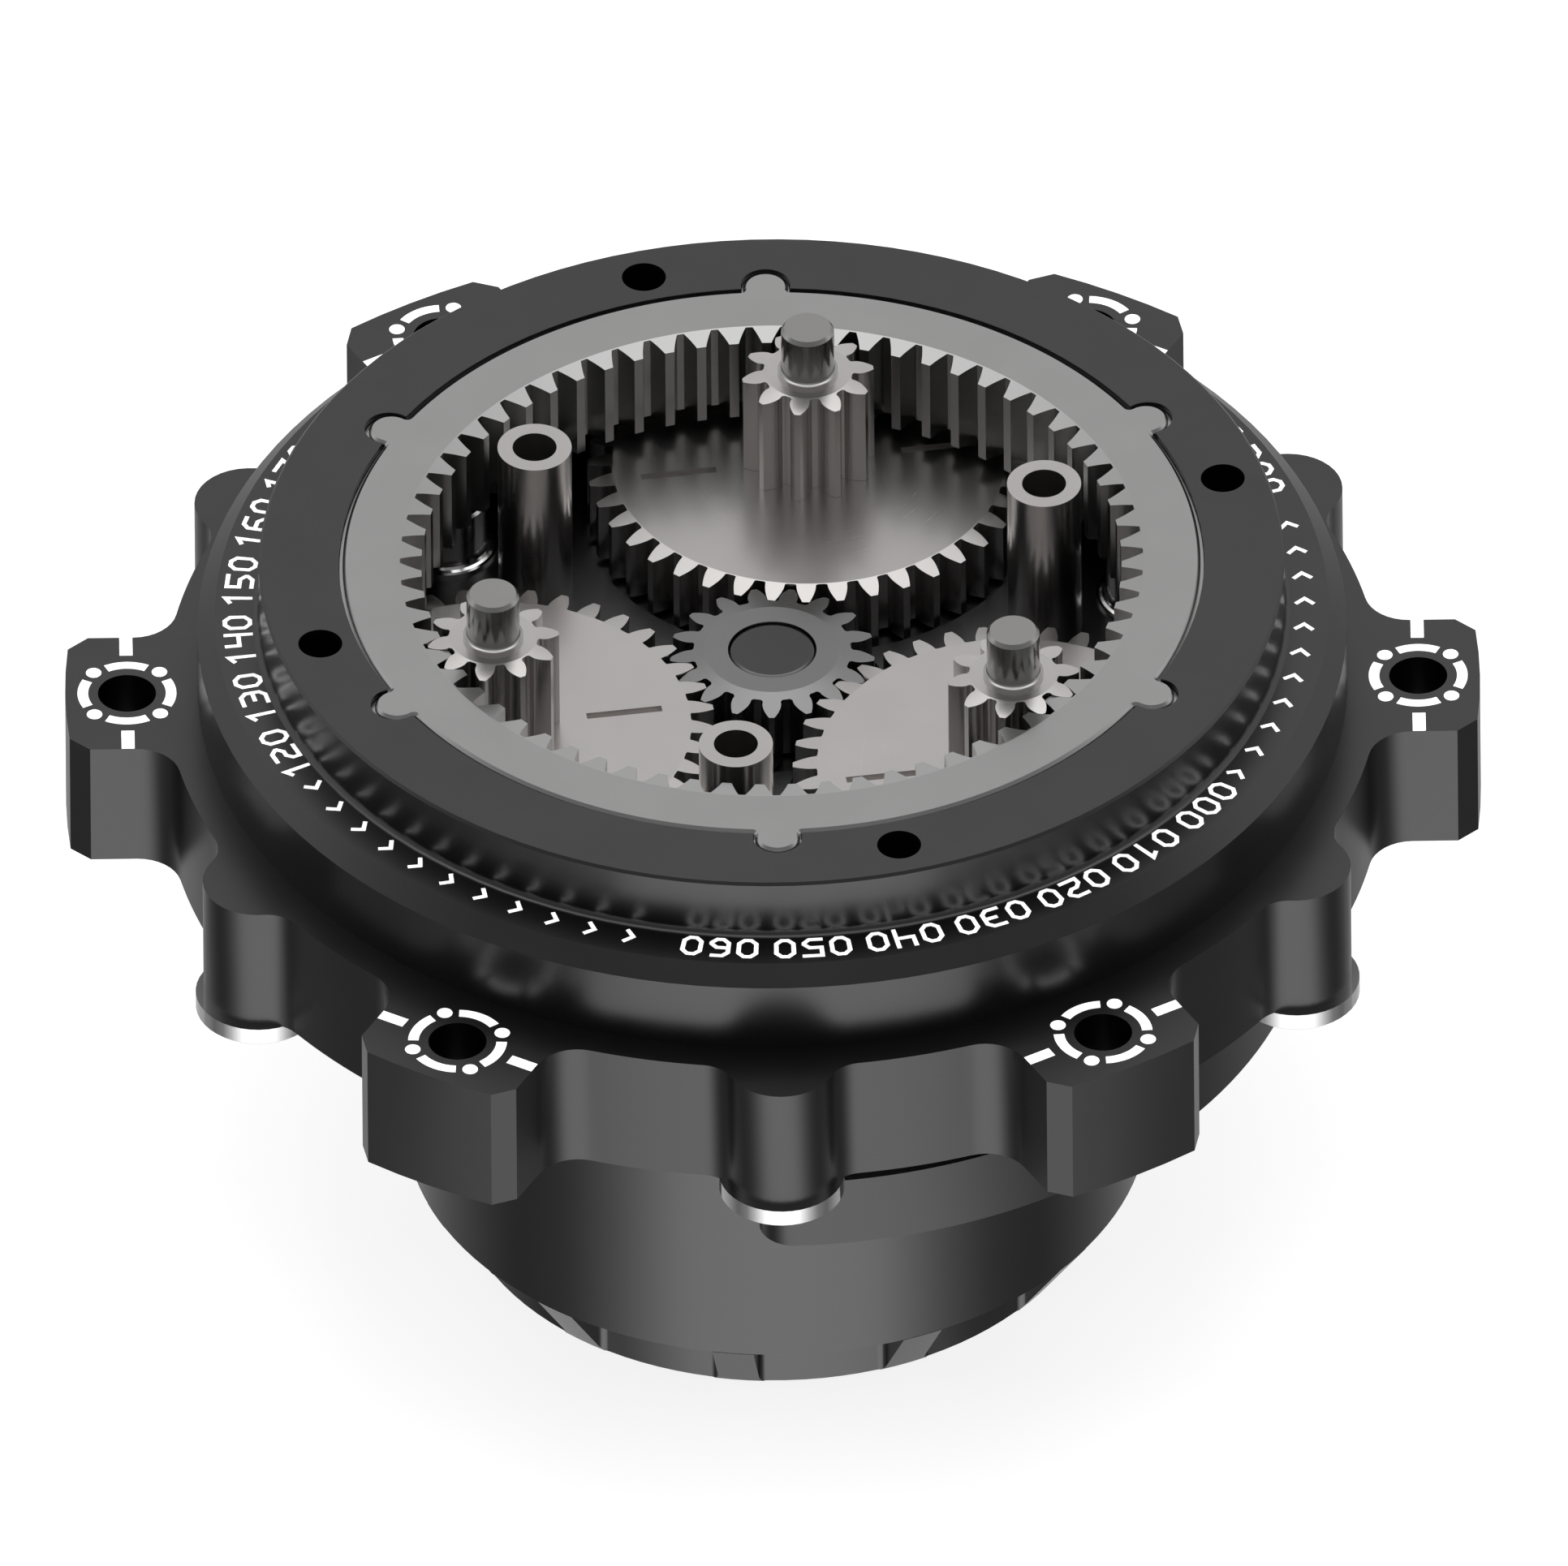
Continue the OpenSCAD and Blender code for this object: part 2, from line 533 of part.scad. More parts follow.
module motor_bearing_rear() motor_bearing(z_can + 2.2);
tooth_step = 360 / stator_teeth;
mouth_hw = 0.5;                     // half the width of a slot's mouth
// half the width of a slot at radius r, beside teeth of constant width
function slot_hw(r) = (r * sin(tooth_step / 2) - tooth_hw) / cos(tooth_step / 2);
module stator_core() {
    color(c_steel) difference() {
        ringsolid(tube_r + seat_fit, core_r, z_can + 4.3, z_can2 - 2.5);
        for (k = [0 : stator_teeth - 1]) rotate([0, 0, tooth_step * (k + 0.5)])
            translate([0, 0, z_can]) linear_extrude(can_len)
            polygon([[slot_in, -slot_hw(slot_in)], [slot_out, -slot_hw(slot_out)], [core_r - 0.9, -mouth_hw],
                [core_r + 2, -mouth_hw], [core_r + 2, mouth_hw], [core_r - 0.9, mouth_hw],
                [slot_out, slot_hw(slot_out)], [slot_in, slot_hw(slot_in)]]);
    }
}
module stator_windings() {
    in_hw = tooth_hw + coil_gap;
    out_hw = in_hw + coil_w;
    color(c_copper) for (k = [0 : stator_teeth - 1]) rotate([0, 0, tooth_step * k]) difference() {
        translate([slot_in + 0.2, -out_hw, z_can + 3])
            cube([slot_out - slot_in - 0.5, 2 * out_hw, can_len - 4.2]);
        translate([slot_in - 1, -in_hw, z_can + 4.2]) cube([core_r, 2 * in_hw, can_len - 6.6]);
    }
}

housing();
ring_gear();
main_bearing_outer();
main_bearing_shields();
bearing_screws();
planet_gear_1();
planet_gear_2();
planet_gear_3();
planet_pinion_1();
planet_pinion_2();
planet_pinion_3();
sun_gear();
motor_shaft();
rotor_can();
end_bell();
magnets();
carrier_base();
post_1();
post_2();
post_3();
clamp_screws();
motor_screws();
planet_bearing_1();
planet_bearing_2();
planet_bearing_3();
main_bearing_inner();
main_bearing_balls();
main_bearing_cage();
half_flange();
motor_base();
motor_bearing_front();
motor_bearing_rear();
stator_core();
stator_windings();
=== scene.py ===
"""Finishes, printed marks, motor coils and a studio stage for a compact planetary gear actuator."""

import math

import bmesh
import bpy
from bpy.props import FloatProperty, FloatVectorProperty, IntProperty, PointerProperty
from bpy.types import Operator, Panel, PropertyGroup
from mathutils import Matrix, Vector


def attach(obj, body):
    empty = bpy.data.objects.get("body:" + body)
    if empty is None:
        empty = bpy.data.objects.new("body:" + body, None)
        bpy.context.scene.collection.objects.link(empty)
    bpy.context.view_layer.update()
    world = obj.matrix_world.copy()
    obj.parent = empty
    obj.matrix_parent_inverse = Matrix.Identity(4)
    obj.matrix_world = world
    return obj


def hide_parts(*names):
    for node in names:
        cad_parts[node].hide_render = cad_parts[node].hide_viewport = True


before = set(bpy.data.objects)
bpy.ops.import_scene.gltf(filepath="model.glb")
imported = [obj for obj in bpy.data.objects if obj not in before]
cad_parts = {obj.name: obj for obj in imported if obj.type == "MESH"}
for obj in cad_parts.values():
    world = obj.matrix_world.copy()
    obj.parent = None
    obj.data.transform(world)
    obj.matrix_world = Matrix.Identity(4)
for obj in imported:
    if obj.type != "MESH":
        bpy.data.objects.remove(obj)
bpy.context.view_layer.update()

bl_info = {
    "name": "Planetary gear actuator",
    "version": (1, 0, 0),
    "blender": (4, 5, 0),
    "location": "View3D > Sidebar > Actuator",
    "description": "Finishes, printed marks, coils and stage of a planetary gear actuator",
    "category": "Object",
}

MM = 0.001

# ---- places and sizes on the actuator, in millimetres from the main axis and from the base ----
LUGS = 6
LUG_HOLE_R = 36.5
LUG_TOP = 36.0
LUG_HALF_WIDTH = 5.0
STEP_TOP = 41.3  # printed step at its inner edge
STEP_INNER = 29.4
STEP_OUTER = 31.5
STEP_FALL = 0.05  # the step falls this much from its inner to its outer edge
PLANETS = 3
PLANET_R = 17.1
FIRST_PLANET = 82.3  # degrees
POST_R = 16.75  # the posts stand half way between the planets
PIN_R = 1.5
PIN_FOOT = 0.05  # a renewed pin's fillet starts this much above the collar
CHAMFER_SLOPE = 1.25  # a pin's chamfer is this many times as high as wide
SHAFT_TIP = 0.35  # length of the shaft's end that is raised
MARK_TURNS = (8, 188)  # the timing marks on a planet's face, in degrees, and how far they reach
MARK_IN = 5.2
MARK_OUT = 9.7
MARK_REACH = 0.2  # the CAD's marks lie within this of their middle line and of the face
MARK_FLOOR = 0.05  # what lies further than this below the face is a mark's floor
TEETH_END = 21.5  # the ring gear's teeth and their bevel lie inside this radius
RIM_SEAT = 24.43  # the rim and its keys where they sit in the housing
KEY_SEAT = 24.76
KEY_SEAT_R = 1.36
SEAT_FILLET = 0.05  # between the rim and a key there
STATOR_TEETH = 12
TOOTH_HALF = 1.95  # half a tooth with its insulation
CORE_LOW = 8.4
CORE_HIGH = 21.2
COIL_IN = 12.4
COIL_OUT = 16.3
COIL_CORNER = 0.5  # radius of the wire's bend round a tooth's corner
WIRE_CLEAR = 0.6  # the wire's middle is this many of its radii off the core's ends

# ---- the printed marks, in millimetres ----
INK_SINK = 0.01  # how deep the ink's closed underside lies in the metal
RING_IN, RING_OUT = 2.2, 2.8  # the four arcs round a lug's hole
RING_HALF_ARC = 27  # degrees
DOT_PLACE, DOT_R = 2.63, 0.44  # the dots between the arcs
BAR_IN, BAR_HALF_WIDTH = 3.37, 0.37  # the bars on either side, which run to the lug's edge
BAR_EDGE = 0.02  # what is left between a bar and the edge
DIGIT_CUT = 0.3  # the cut corners of a digit
DIGIT_TRUE = 0.5  # a digit has its true width this far out from its foot
ARROW_LENGTH, ARROW_HEIGHT, ARROW_OUT = 0.8, 1.3, 0.07

# ---- fineness and tolerances ----
ROUND_PARTS, FILLET_PARTS, WIRE_SIDES = 24, 6, 8  # points along a round stretch, a fillet and a wire
CAD_MERGE, PRINT_MERGE = 0.0005, 0.001  # points this near are one, in millimetres
HAIR = 0.01  # millimetres, for telling places apart
SHARP = math.radians(30)
FLAT_PULL = 100  # the largest faces set the normals of the points they share
LEVEL = 0.99999  # a face is level when its normal's height is more than this

# ---- finishes that stay as they are ----
SHAFT_STEEL = (0.1, 0.1, 0.1)
NICKEL = (0.66, 0.64, 0.6)
LAMINATION = (0.34, 0.34, 0.35)
CAGE_BRASS = (0.7, 0.5, 0.22)
INK_GRAIN, PLATE_GRAIN, BRASS_GRAIN = 0.000001, 0.0000005, 0.0000008  # metres
GRAIN_SIZE = 0.16  # millimetres
CLOUD_SCALE = 0.25  # patches of tone to a millimetre
FINE_SHARE, CLOUD_SHARE = 0.4, 0.6  # how much grain and patches each count in the colour
ROUGH_SPREAD = 0.03
TURNING = 0.0000005  # the usual height of turning marks, in metres

# ---- the surroundings' brightness; 1 is the lit table's. The first is by share of the half turn away from
# the front, below the horizon; the others by the height of the direction, from the horizon to straight up ----
TABLE_LIGHT = ((0.0, 1.0), (0.167, 0.93), (0.211, 0.72), (0.289, 0.38), (0.378, 0.15), (0.5, 0.09),
               (0.667, 0.22), (1.0, 0.38))
BACK_SKY = ((0.0, 0.3), (0.25, 0.44), (0.375, 0.51), (0.45, 0.46), (0.53, 0.39), (0.6, 0.355), (0.7, 0.355),
            (0.75, 0.48), (0.785, 0.76), (0.83, 0.92), (0.88, 1.12), (0.94, 1.1), (1.0, 0.86))
FRONT_SKY = ((0.0, 0.22), (0.5, 0.2), (0.7, 0.12), (0.84, 0.14), (0.94, 0.6), (1.0, 0.86))
SKY_MEET = (-0.2, 0.15)  # the front sky gives way to the back one between these places along Y
HORIZON = (-0.25, 0.1)  # and the table to the sky between these heights

# ---- the stage, in metres ----
FLOOR_HALF = 3.0
FLOOR_DROP = 0.0002
FLOOR_MATT = (0.8, 0.8, 0.8, 1.0)
FLOOR_SEEN = (0.22, 0.22, 0.22, 1.0)  # the camera sees this with a glow added, which comes out paler
FLOOR_GLOW = 0.86
WHITE = (1.0, 1.0, 1.0, 1.0)
LAMP_PLACE = Vector((0.0, -0.25, 1.2))
LAMP_AIM = Vector((0.0, 0.0, 0.03))
LAMP_SIZE = 0.9
LAMP_POWER = 16.0
NEAR_CLIP, FAR_CLIP = 0.01, 10.0


# ---------------------------------------------------------------- settings
class ActuatorFinish(PropertyGroup):
    """Colours and surface of the metal parts."""

    black: FloatVectorProperty(
        name="Black anodising", description="Colour of the anodised housing",
        default=(0.084, 0.084, 0.084), size=3, min=0, max=1, subtype="COLOR")
    motor_black: FloatVectorProperty(
        name="Motor black", description="Colour of the rotor can and end bell",
        default=(0.1, 0.1, 0.1), size=3, min=0, max=1, subtype="COLOR")
    carrier: FloatVectorProperty(
        name="Dark aluminium", description="Colour of the carrier floor",
        default=(0.11, 0.11, 0.112), size=3, min=0, max=1, subtype="COLOR")
    planet_steel: FloatVectorProperty(
        name="Planet steel", description="Colour of the ground planet gears",
        default=(0.62, 0.598, 0.588), size=3, min=0, max=1, subtype="COLOR")
    ring_steel: FloatVectorProperty(
        name="Ring steel", description="Colour of the ring gear",
        default=(0.45, 0.449, 0.447), size=3, min=0, max=1, subtype="COLOR")
    sun_steel: FloatVectorProperty(
        name="Sun steel", description="Colour of the hardened sun gear",
        default=(0.27, 0.27, 0.27), size=3, min=0, max=1, subtype="COLOR")
    bright_steel: FloatVectorProperty(
        name="Bright steel", description="Colour of posts, screws and bearing rings",
        default=(0.72, 0.72, 0.72), size=3, min=0, max=1, subtype="COLOR")
    pin_steel: FloatVectorProperty(
        name="Pin steel", description="Colour of the planets' pins",
        default=(0.41, 0.405, 0.4), size=3, min=0, max=1, subtype="COLOR")
    copper: FloatVectorProperty(
        name="Copper wire", description="Colour of the enamelled motor wire",
        default=(0.74, 0.33, 0.16), size=3, min=0, max=1, subtype="COLOR")
    grain: FloatProperty(
        name="Grain", description="Height of the blasted grain on the black parts",
        default=0.0008 * MM, min=0, max=0.01 * MM, precision=7, unit="LENGTH")


class ActuatorPrint(PropertyGroup):
    """Sizes of the white printed marks."""

    ink: FloatVectorProperty(
        name="Ink", description="Colour of the printed marks",
        default=(0.93, 0.93, 0.93), size=3, min=0, max=1, subtype="COLOR")
    height: FloatProperty(
        name="Ink height", description="How far the ink stands above the metal",
        default=0.02 * MM, min=0.005 * MM, max=0.1 * MM, precision=6, unit="LENGTH")
    stroke: FloatProperty(
        name="Stroke", description="Width of the lines of the dial's figures",
        default=0.25 * MM, min=0.1 * MM, max=0.4 * MM, precision=6, unit="LENGTH")
    digit_height: FloatProperty(
        name="Digit height", description="Height of the dial's digits",
        default=1.66 * MM, min=1 * MM, max=1.8 * MM, precision=6, unit="LENGTH")
    digit_width: FloatProperty(
        name="Digit width", description="Width of one digit",
        default=1.22 * MM, min=0.8 * MM, max=1.4 * MM, precision=6, unit="LENGTH")
    digit_gap: FloatProperty(
        name="Digit gap", description="Space between two digits of a number",
        default=0.34 * MM, min=0.1 * MM, max=0.6 * MM, precision=6, unit="LENGTH")
    arcs: IntProperty(
        name="Arcs", description="Arcs of numbers and arrows round the dial", default=3, min=1, max=3)
    numbers: IntProperty(
        name="Numbers", description="Numbers in one arc, ten degrees apart", default=7, min=1, max=8)
    first_number: FloatProperty(
        name="First number", description="Angle of the number 000 from the first lug",
        default=math.radians(-36.4), subtype="ANGLE", unit="ROTATION")
    arrows: IntProperty(
        name="Arrows", description="Arrows in one arc", default=11, min=1, max=12)
    first_arrow: FloatProperty(
        name="First arrow", description="Angle of the first arrow's point from the first lug",
        default=math.radians(-105.5), subtype="ANGLE", unit="ROTATION")
    arrow_step: FloatProperty(
        name="Arrow step", description="Angle from one arrow to the next",
        default=math.radians(-4.37), subtype="ANGLE", unit="ROTATION")


class ActuatorRim(PropertyGroup):
    """Sizes of the ring gear's outer rim."""

    radius: FloatProperty(
        name="Rim radius", description="Radius of the upper rim, below its chamfer",
        default=24.25 * MM, min=23.5 * MM, max=24.4 * MM, precision=6, unit="LENGTH")
    chamfer: FloatProperty(
        name="Chamfer", description="Chamfer along the rim's top edge",
        default=0.17 * MM, min=0.05 * MM, max=0.3 * MM, precision=6, unit="LENGTH")
    rebate: FloatProperty(
        name="Rebate", description="Depth of the ledge round the rim",
        default=0.4 * MM, min=0.3 * MM, max=1 * MM, precision=6, unit="LENGTH")
    key_radius: FloatProperty(
        name="Key radius", description="Radius of the half-round keys, below their chamfer",
        default=1.27 * MM, min=0.8 * MM, max=1.35 * MM, precision=6, unit="LENGTH")
    key_place: FloatProperty(
        name="Key place", description="Distance of a key's middle from the main axis",
        default=24.62 * MM, min=24 * MM, max=24.8 * MM, precision=6, unit="LENGTH")
    fillet: FloatProperty(
        name="Fillet", description="Fillet between a key and the rim, below the chamfer",
        default=0.2 * MM, min=0.02 * MM, max=0.5 * MM, precision=6, unit="LENGTH")


class ActuatorDetails(PropertyGroup):
    """Small details of the gear train."""

    shaft_lift: FloatProperty(
        name="Shaft lift", description="How much nearer the sun gear's face the shaft's end is shown",
        default=0.65 * MM, min=0, max=0.7 * MM, precision=5, unit="LENGTH")
    mark_width: FloatProperty(
        name="Mark width", description="Width of the timing marks on the planets' faces",
        default=0.5 * MM, min=0.2 * MM, max=1 * MM, precision=5, unit="LENGTH")
    mark_depth: FloatProperty(
        name="Mark depth", description="Depth of the timing marks",
        default=0.45 * MM, min=0.1 * MM, max=1 * MM, precision=5, unit="LENGTH")
    pin_chamfer: FloatProperty(
        name="Pin chamfer", description="Width of the chamfer at a planet pin's end",
        default=0.18 * MM, min=0, max=0.5 * MM, precision=5, unit="LENGTH")
    pin_fillet: FloatProperty(
        name="Pin fillet", description="Radius of the fillet between a planet's pin and its collar",
        default=0.14 * MM, min=0.01 * MM, max=0.15 * MM, precision=5, unit="LENGTH")


class ActuatorCoils(PropertyGroup):
    """Sizes of the motor's wire coils."""

    wire: FloatProperty(
        name="Wire", description="Diameter of the enamelled wire",
        default=0.6 * MM, min=0.2 * MM, max=0.64 * MM, precision=6, unit="LENGTH")
    turns: IntProperty(
        name="Turns", description="Turns of wire on each tooth", default=6, min=2, max=9)
    bow: FloatProperty(
        name="Bow", description="How far the wire bows out over the ends of a tooth",
        default=0.45 * MM, min=0, max=0.6 * MM, precision=6, unit="LENGTH")


class ActuatorStage(PropertyGroup):
    """Camera and surroundings."""

    elevation: FloatProperty(
        name="Elevation", description="Angle of the camera above the horizon",
        default=math.radians(39.09), subtype="ANGLE", unit="ROTATION")
    azimuth: FloatProperty(
        name="Azimuth", description="Angle of the camera round the main axis, from -Y",
        default=math.radians(-0.484), subtype="ANGLE", unit="ROTATION")
    roll: FloatProperty(
        name="Roll", description="Turn of the camera about its own line of sight",
        default=math.radians(-0.489), subtype="ANGLE", unit="ROTATION")
    frame_width: FloatProperty(
        name="Frame width", description="Width of the view on the object",
        default=88.64 * MM, min=0.01, max=1, precision=5, unit="LENGTH")
    aim_height: FloatProperty(
        name="Aim height", description="Height on the main axis that the view is laid from",
        default=45 * MM, precision=5, unit="LENGTH")
    aim_right: FloatProperty(
        name="Aim right", description="Distance of the view's middle to the right of that point",
        default=0.706 * MM, precision=6, unit="LENGTH")
    aim_up: FloatProperty(
        name="Aim up", description="Distance of the view's middle above that point",
        default=-12.56 * MM, precision=6, unit="LENGTH")
    distance: FloatProperty(
        name="Distance", description="Distance of the camera from the actuator",
        default=0.6, min=0.2, max=2, unit="LENGTH")
    front_light: FloatProperty(
        name="Front light", description="Brightness of the lit table in front; the sides and the sky follow it",
        default=1.62, min=0, max=3)


# ---------------------------------------------------------------- node helpers
def emptied_tree(owner):
    """The node tree of a new material or world, with nothing in it."""
    owner.use_nodes = True
    owner.node_tree.nodes.clear()
    return owner.node_tree


def new_material(name):
    """A node material with a Principled shader; returns the material, its tree and the shader."""
    material = bpy.data.materials.new(name)
    tree = emptied_tree(material)
    out = tree.nodes.new("ShaderNodeOutputMaterial")
    shader = tree.nodes.new("ShaderNodeBsdfPrincipled")
    tree.links.new(shader.outputs["BSDF"], out.inputs["Surface"])
    return material, tree, shader


def node(tree, kind, inputs=None, **settings):
    """A node with its settings and inputs; an input is a value or another node's output."""
    made = tree.nodes.new(kind)
    for key, value in settings.items():
        setattr(made, key, value)
    for key, value in (inputs or {}).items():
        if isinstance(value, bpy.types.NodeSocket):
            tree.links.new(value, made.inputs[key])
        else:
            made.inputs[key].default_value = value
    return made


def math_node(tree, operation, a, b=0.0, c=0.0):
    """The result of one step of arithmetic."""
    made = node(tree, "ShaderNodeMath", {0: a, 1: b, 2: c}, operation=operation)
    return made.outputs[0]


def map_range(tree, value, low, high):
    """A value of 0 to 1 laid between low and high."""
    made = node(tree, "ShaderNodeMapRange", {"Value": value, "To Min": low, "To Max": high})
    return made.outputs["Result"]


def blend_between(tree, value, low, high):
    """A soft step from 0 to 1 as the value goes from low to high."""
    made = node(tree, "ShaderNodeMapRange", {
        "Value": value, "From Min": low, "From Max": high}, interpolation_type="SMOOTHSTEP")
    return made.outputs["Result"]


def mix_colours(tree, share, first, second):
    """A colour between two."""
    return node(tree, "ShaderNodeMix", {"Factor": share, 6: first, 7: second}, data_type="RGBA").outputs[2]


def mix_shaders(tree, share, first, second):
    """A shader between two nodes' shaders."""
    return node(tree, "ShaderNodeMixShader", {0: share, 1: first.outputs[0], 2: second.outputs[0]})


def noise(tree, place, scale, **detail):
    """Noise of 0 to 1 at a place."""
    return node(tree, "ShaderNodeTexNoise", {"Vector": place, "Scale": scale, **detail}).outputs["Fac"]


def bump(tree, height, distance):
    """A bump node for a height of 0 to 1 over a distance in metres."""
    return node(tree, "ShaderNodeBump", {"Strength": 1.0, "Distance": distance, "Height": height})


def millimetres(tree, centre=(0.0, 0.0)):
    """Object coordinates in millimetres from a vertical axis through centre, in millimetres."""
    place = node(tree, "ShaderNodeTexCoord").outputs["Object"]
    mapped = node(tree, "ShaderNodeMapping", {
        "Vector": place, "Location": (-centre[0], -centre[1], 0.0), "Scale": (1 / MM,) * 3})
    return mapped.outputs["Vector"]


def lathe_line(tree, place):
    """Radius plus height: a number that runs across turned faces and along turned walls."""
    axes = node(tree, "ShaderNodeSeparateXYZ", {0: place})
    square_x = math_node(tree, "MULTIPLY", axes.outputs["X"], axes.outputs["X"])
    square = math_node(tree, "MULTIPLY_ADD", axes.outputs["Y"], axes.outputs["Y"], square_x)
    return math_node(tree, "ADD", math_node(tree, "SQRT", square), axes.outputs["Z"])


def metal(name, colour, roughness, tint=0.05, grain=0.0, turned=0.0, turned_size=0.12, centre=(0.0, 0.0)):
    """A metal finish. grain and turned are the heights of a blasted grain and of turning marks, in metres, and
    turned_size and the centre of turning are in millimetres. tint is how far the colour strays."""
    material, tree, shader = new_material(name)
    place = millimetres(tree, centre)
    cloud = noise(tree, place, CLOUD_SCALE, Detail=3.0, Roughness=0.6)
    fine = noise(tree, place, 1 / GRAIN_SIZE, Detail=2.0, Roughness=0.55)
    dark = [channel * (1 - tint) for channel in colour]
    light = [min(1.0, channel * (1 + tint)) for channel in colour]
    share = math_node(tree, "MULTIPLY_ADD", fine, FINE_SHARE, math_node(tree, "MULTIPLY", cloud, CLOUD_SHARE))
    tree.links.new(mix_colours(tree, share, (*dark, 1.0), (*light, 1.0)), shader.inputs["Base Color"])
    shader.inputs["Metallic"].default_value = 1.0
    rough = map_range(tree, cloud, roughness - ROUGH_SPREAD, roughness + ROUGH_SPREAD)
    if grain:
        tree.links.new(bump(tree, fine, grain).outputs["Normal"], shader.inputs["Normal"])
    if turned:
        line = node(tree, "ShaderNodeTexNoise", {
            "W": lathe_line(tree, place), "Scale": 1 / turned_size, "Detail": 3.0, "Roughness": 0.7},
            noise_dimensions="1D").outputs["Fac"]
        rough = math_node(tree, "MULTIPLY_ADD", line, 2 * ROUGH_SPREAD,
                          math_node(tree, "SUBTRACT", rough, ROUGH_SPREAD))
        tree.links.new(bump(tree, line, turned).outputs["Normal"], shader.inputs["Normal"])
    tree.links.new(rough, shader.inputs["Roughness"])
    return material


def round_place(radius, degrees):
    """X and Y at a radius and an angle about the main axis."""
    return radius * math.cos(math.radians(degrees)), radius * math.sin(math.radians(degrees))


def planet_turn(k):
    """The angle of planet k about the main axis, in degrees; half way to the next one for half a step more."""
    return FIRST_PLANET + 360 / PLANETS * k


def light_ramp(tree, share, stops):
    """A brightness from stops of (share, brightness)."""
    ramp = node(tree, "ShaderNodeValToRGB", {"Fac": share})
    band = ramp.color_ramp
    for at, _ in stops[1:-1]:
        band.elements.new(at)
    for element, (at, value) in zip(band.elements, stops):
        element.position = at
        element.color = (value, value, value, 1.0)
    return ramp.outputs["Color"]


# ---------------------------------------------------------------- meshes and pieces
def placed(name, data):
    """An object with this data in the scene."""
    made = bpy.data.objects.new(name, data)
    bpy.context.scene.collection.objects.link(made)
    return made


def evaluated_mesh(made):
    """The plain mesh that an object has after its modifiers."""
    return bpy.data.meshes.new_from_object(made.evaluated_get(bpy.context.evaluated_depsgraph_get()))


def ended(build, name):
    """The mesh of a build that is done."""
    mesh = bpy.data.meshes.new(name)
    build.to_mesh(mesh)
    build.free()
    return mesh


def finish_mesh(build, name):
    """The mesh of a build, with its faces turned outwards."""
    bmesh.ops.recalc_face_normals(build, faces=build.faces)
    return ended(build, name)


def cad_copy(name):
    """A merged copy of a CAD node's mesh."""
    build = bmesh.new()
    build.from_mesh(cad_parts[name].data)
    bmesh.ops.remove_doubles(build, verts=build.verts, dist=CAD_MERGE * MM)
    return build


def stand_in(name, build, cad_name, body, slot, *more_materials):
    """Makes the piece that is shown in place of a CAD node, with that node's finish. Its walls are smooth, and
    its sharp corners and the rims of its level faces are edges."""
    bmesh.ops.recalc_face_normals(build, faces=build.faces)
    for face in build.faces:
        face.smooth = True
    for edge in build.edges:
        level = [abs(f.normal.z) > LEVEL for f in edge.link_faces]
        edge.smooth = edge.calc_face_angle() < SHARP and level[0] == level[1]
    mesh = ended(build, name)
    for material in (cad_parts[cad_name].data.materials[0], *more_materials):
        mesh.materials.append(material)
    made = placed(name, mesh)
    weigh_normals(made)
    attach(made, body)
    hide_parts(cad_name)


def weigh_normals(made):
    """Lets the large flat faces keep their own normals, and rounds the small ones between them."""
    weigh = made.modifiers.new("weighted_normals", "WEIGHTED_NORMAL")
    weigh.mode = "FACE_AREA"
    weigh.weight = FLAT_PULL
    weigh.keep_sharp = True
    mesh = evaluated_mesh(made)
    made.modifiers.clear()
    old, made.data = made.data, mesh
    bpy.data.meshes.remove(old)
    mesh.name = made.name


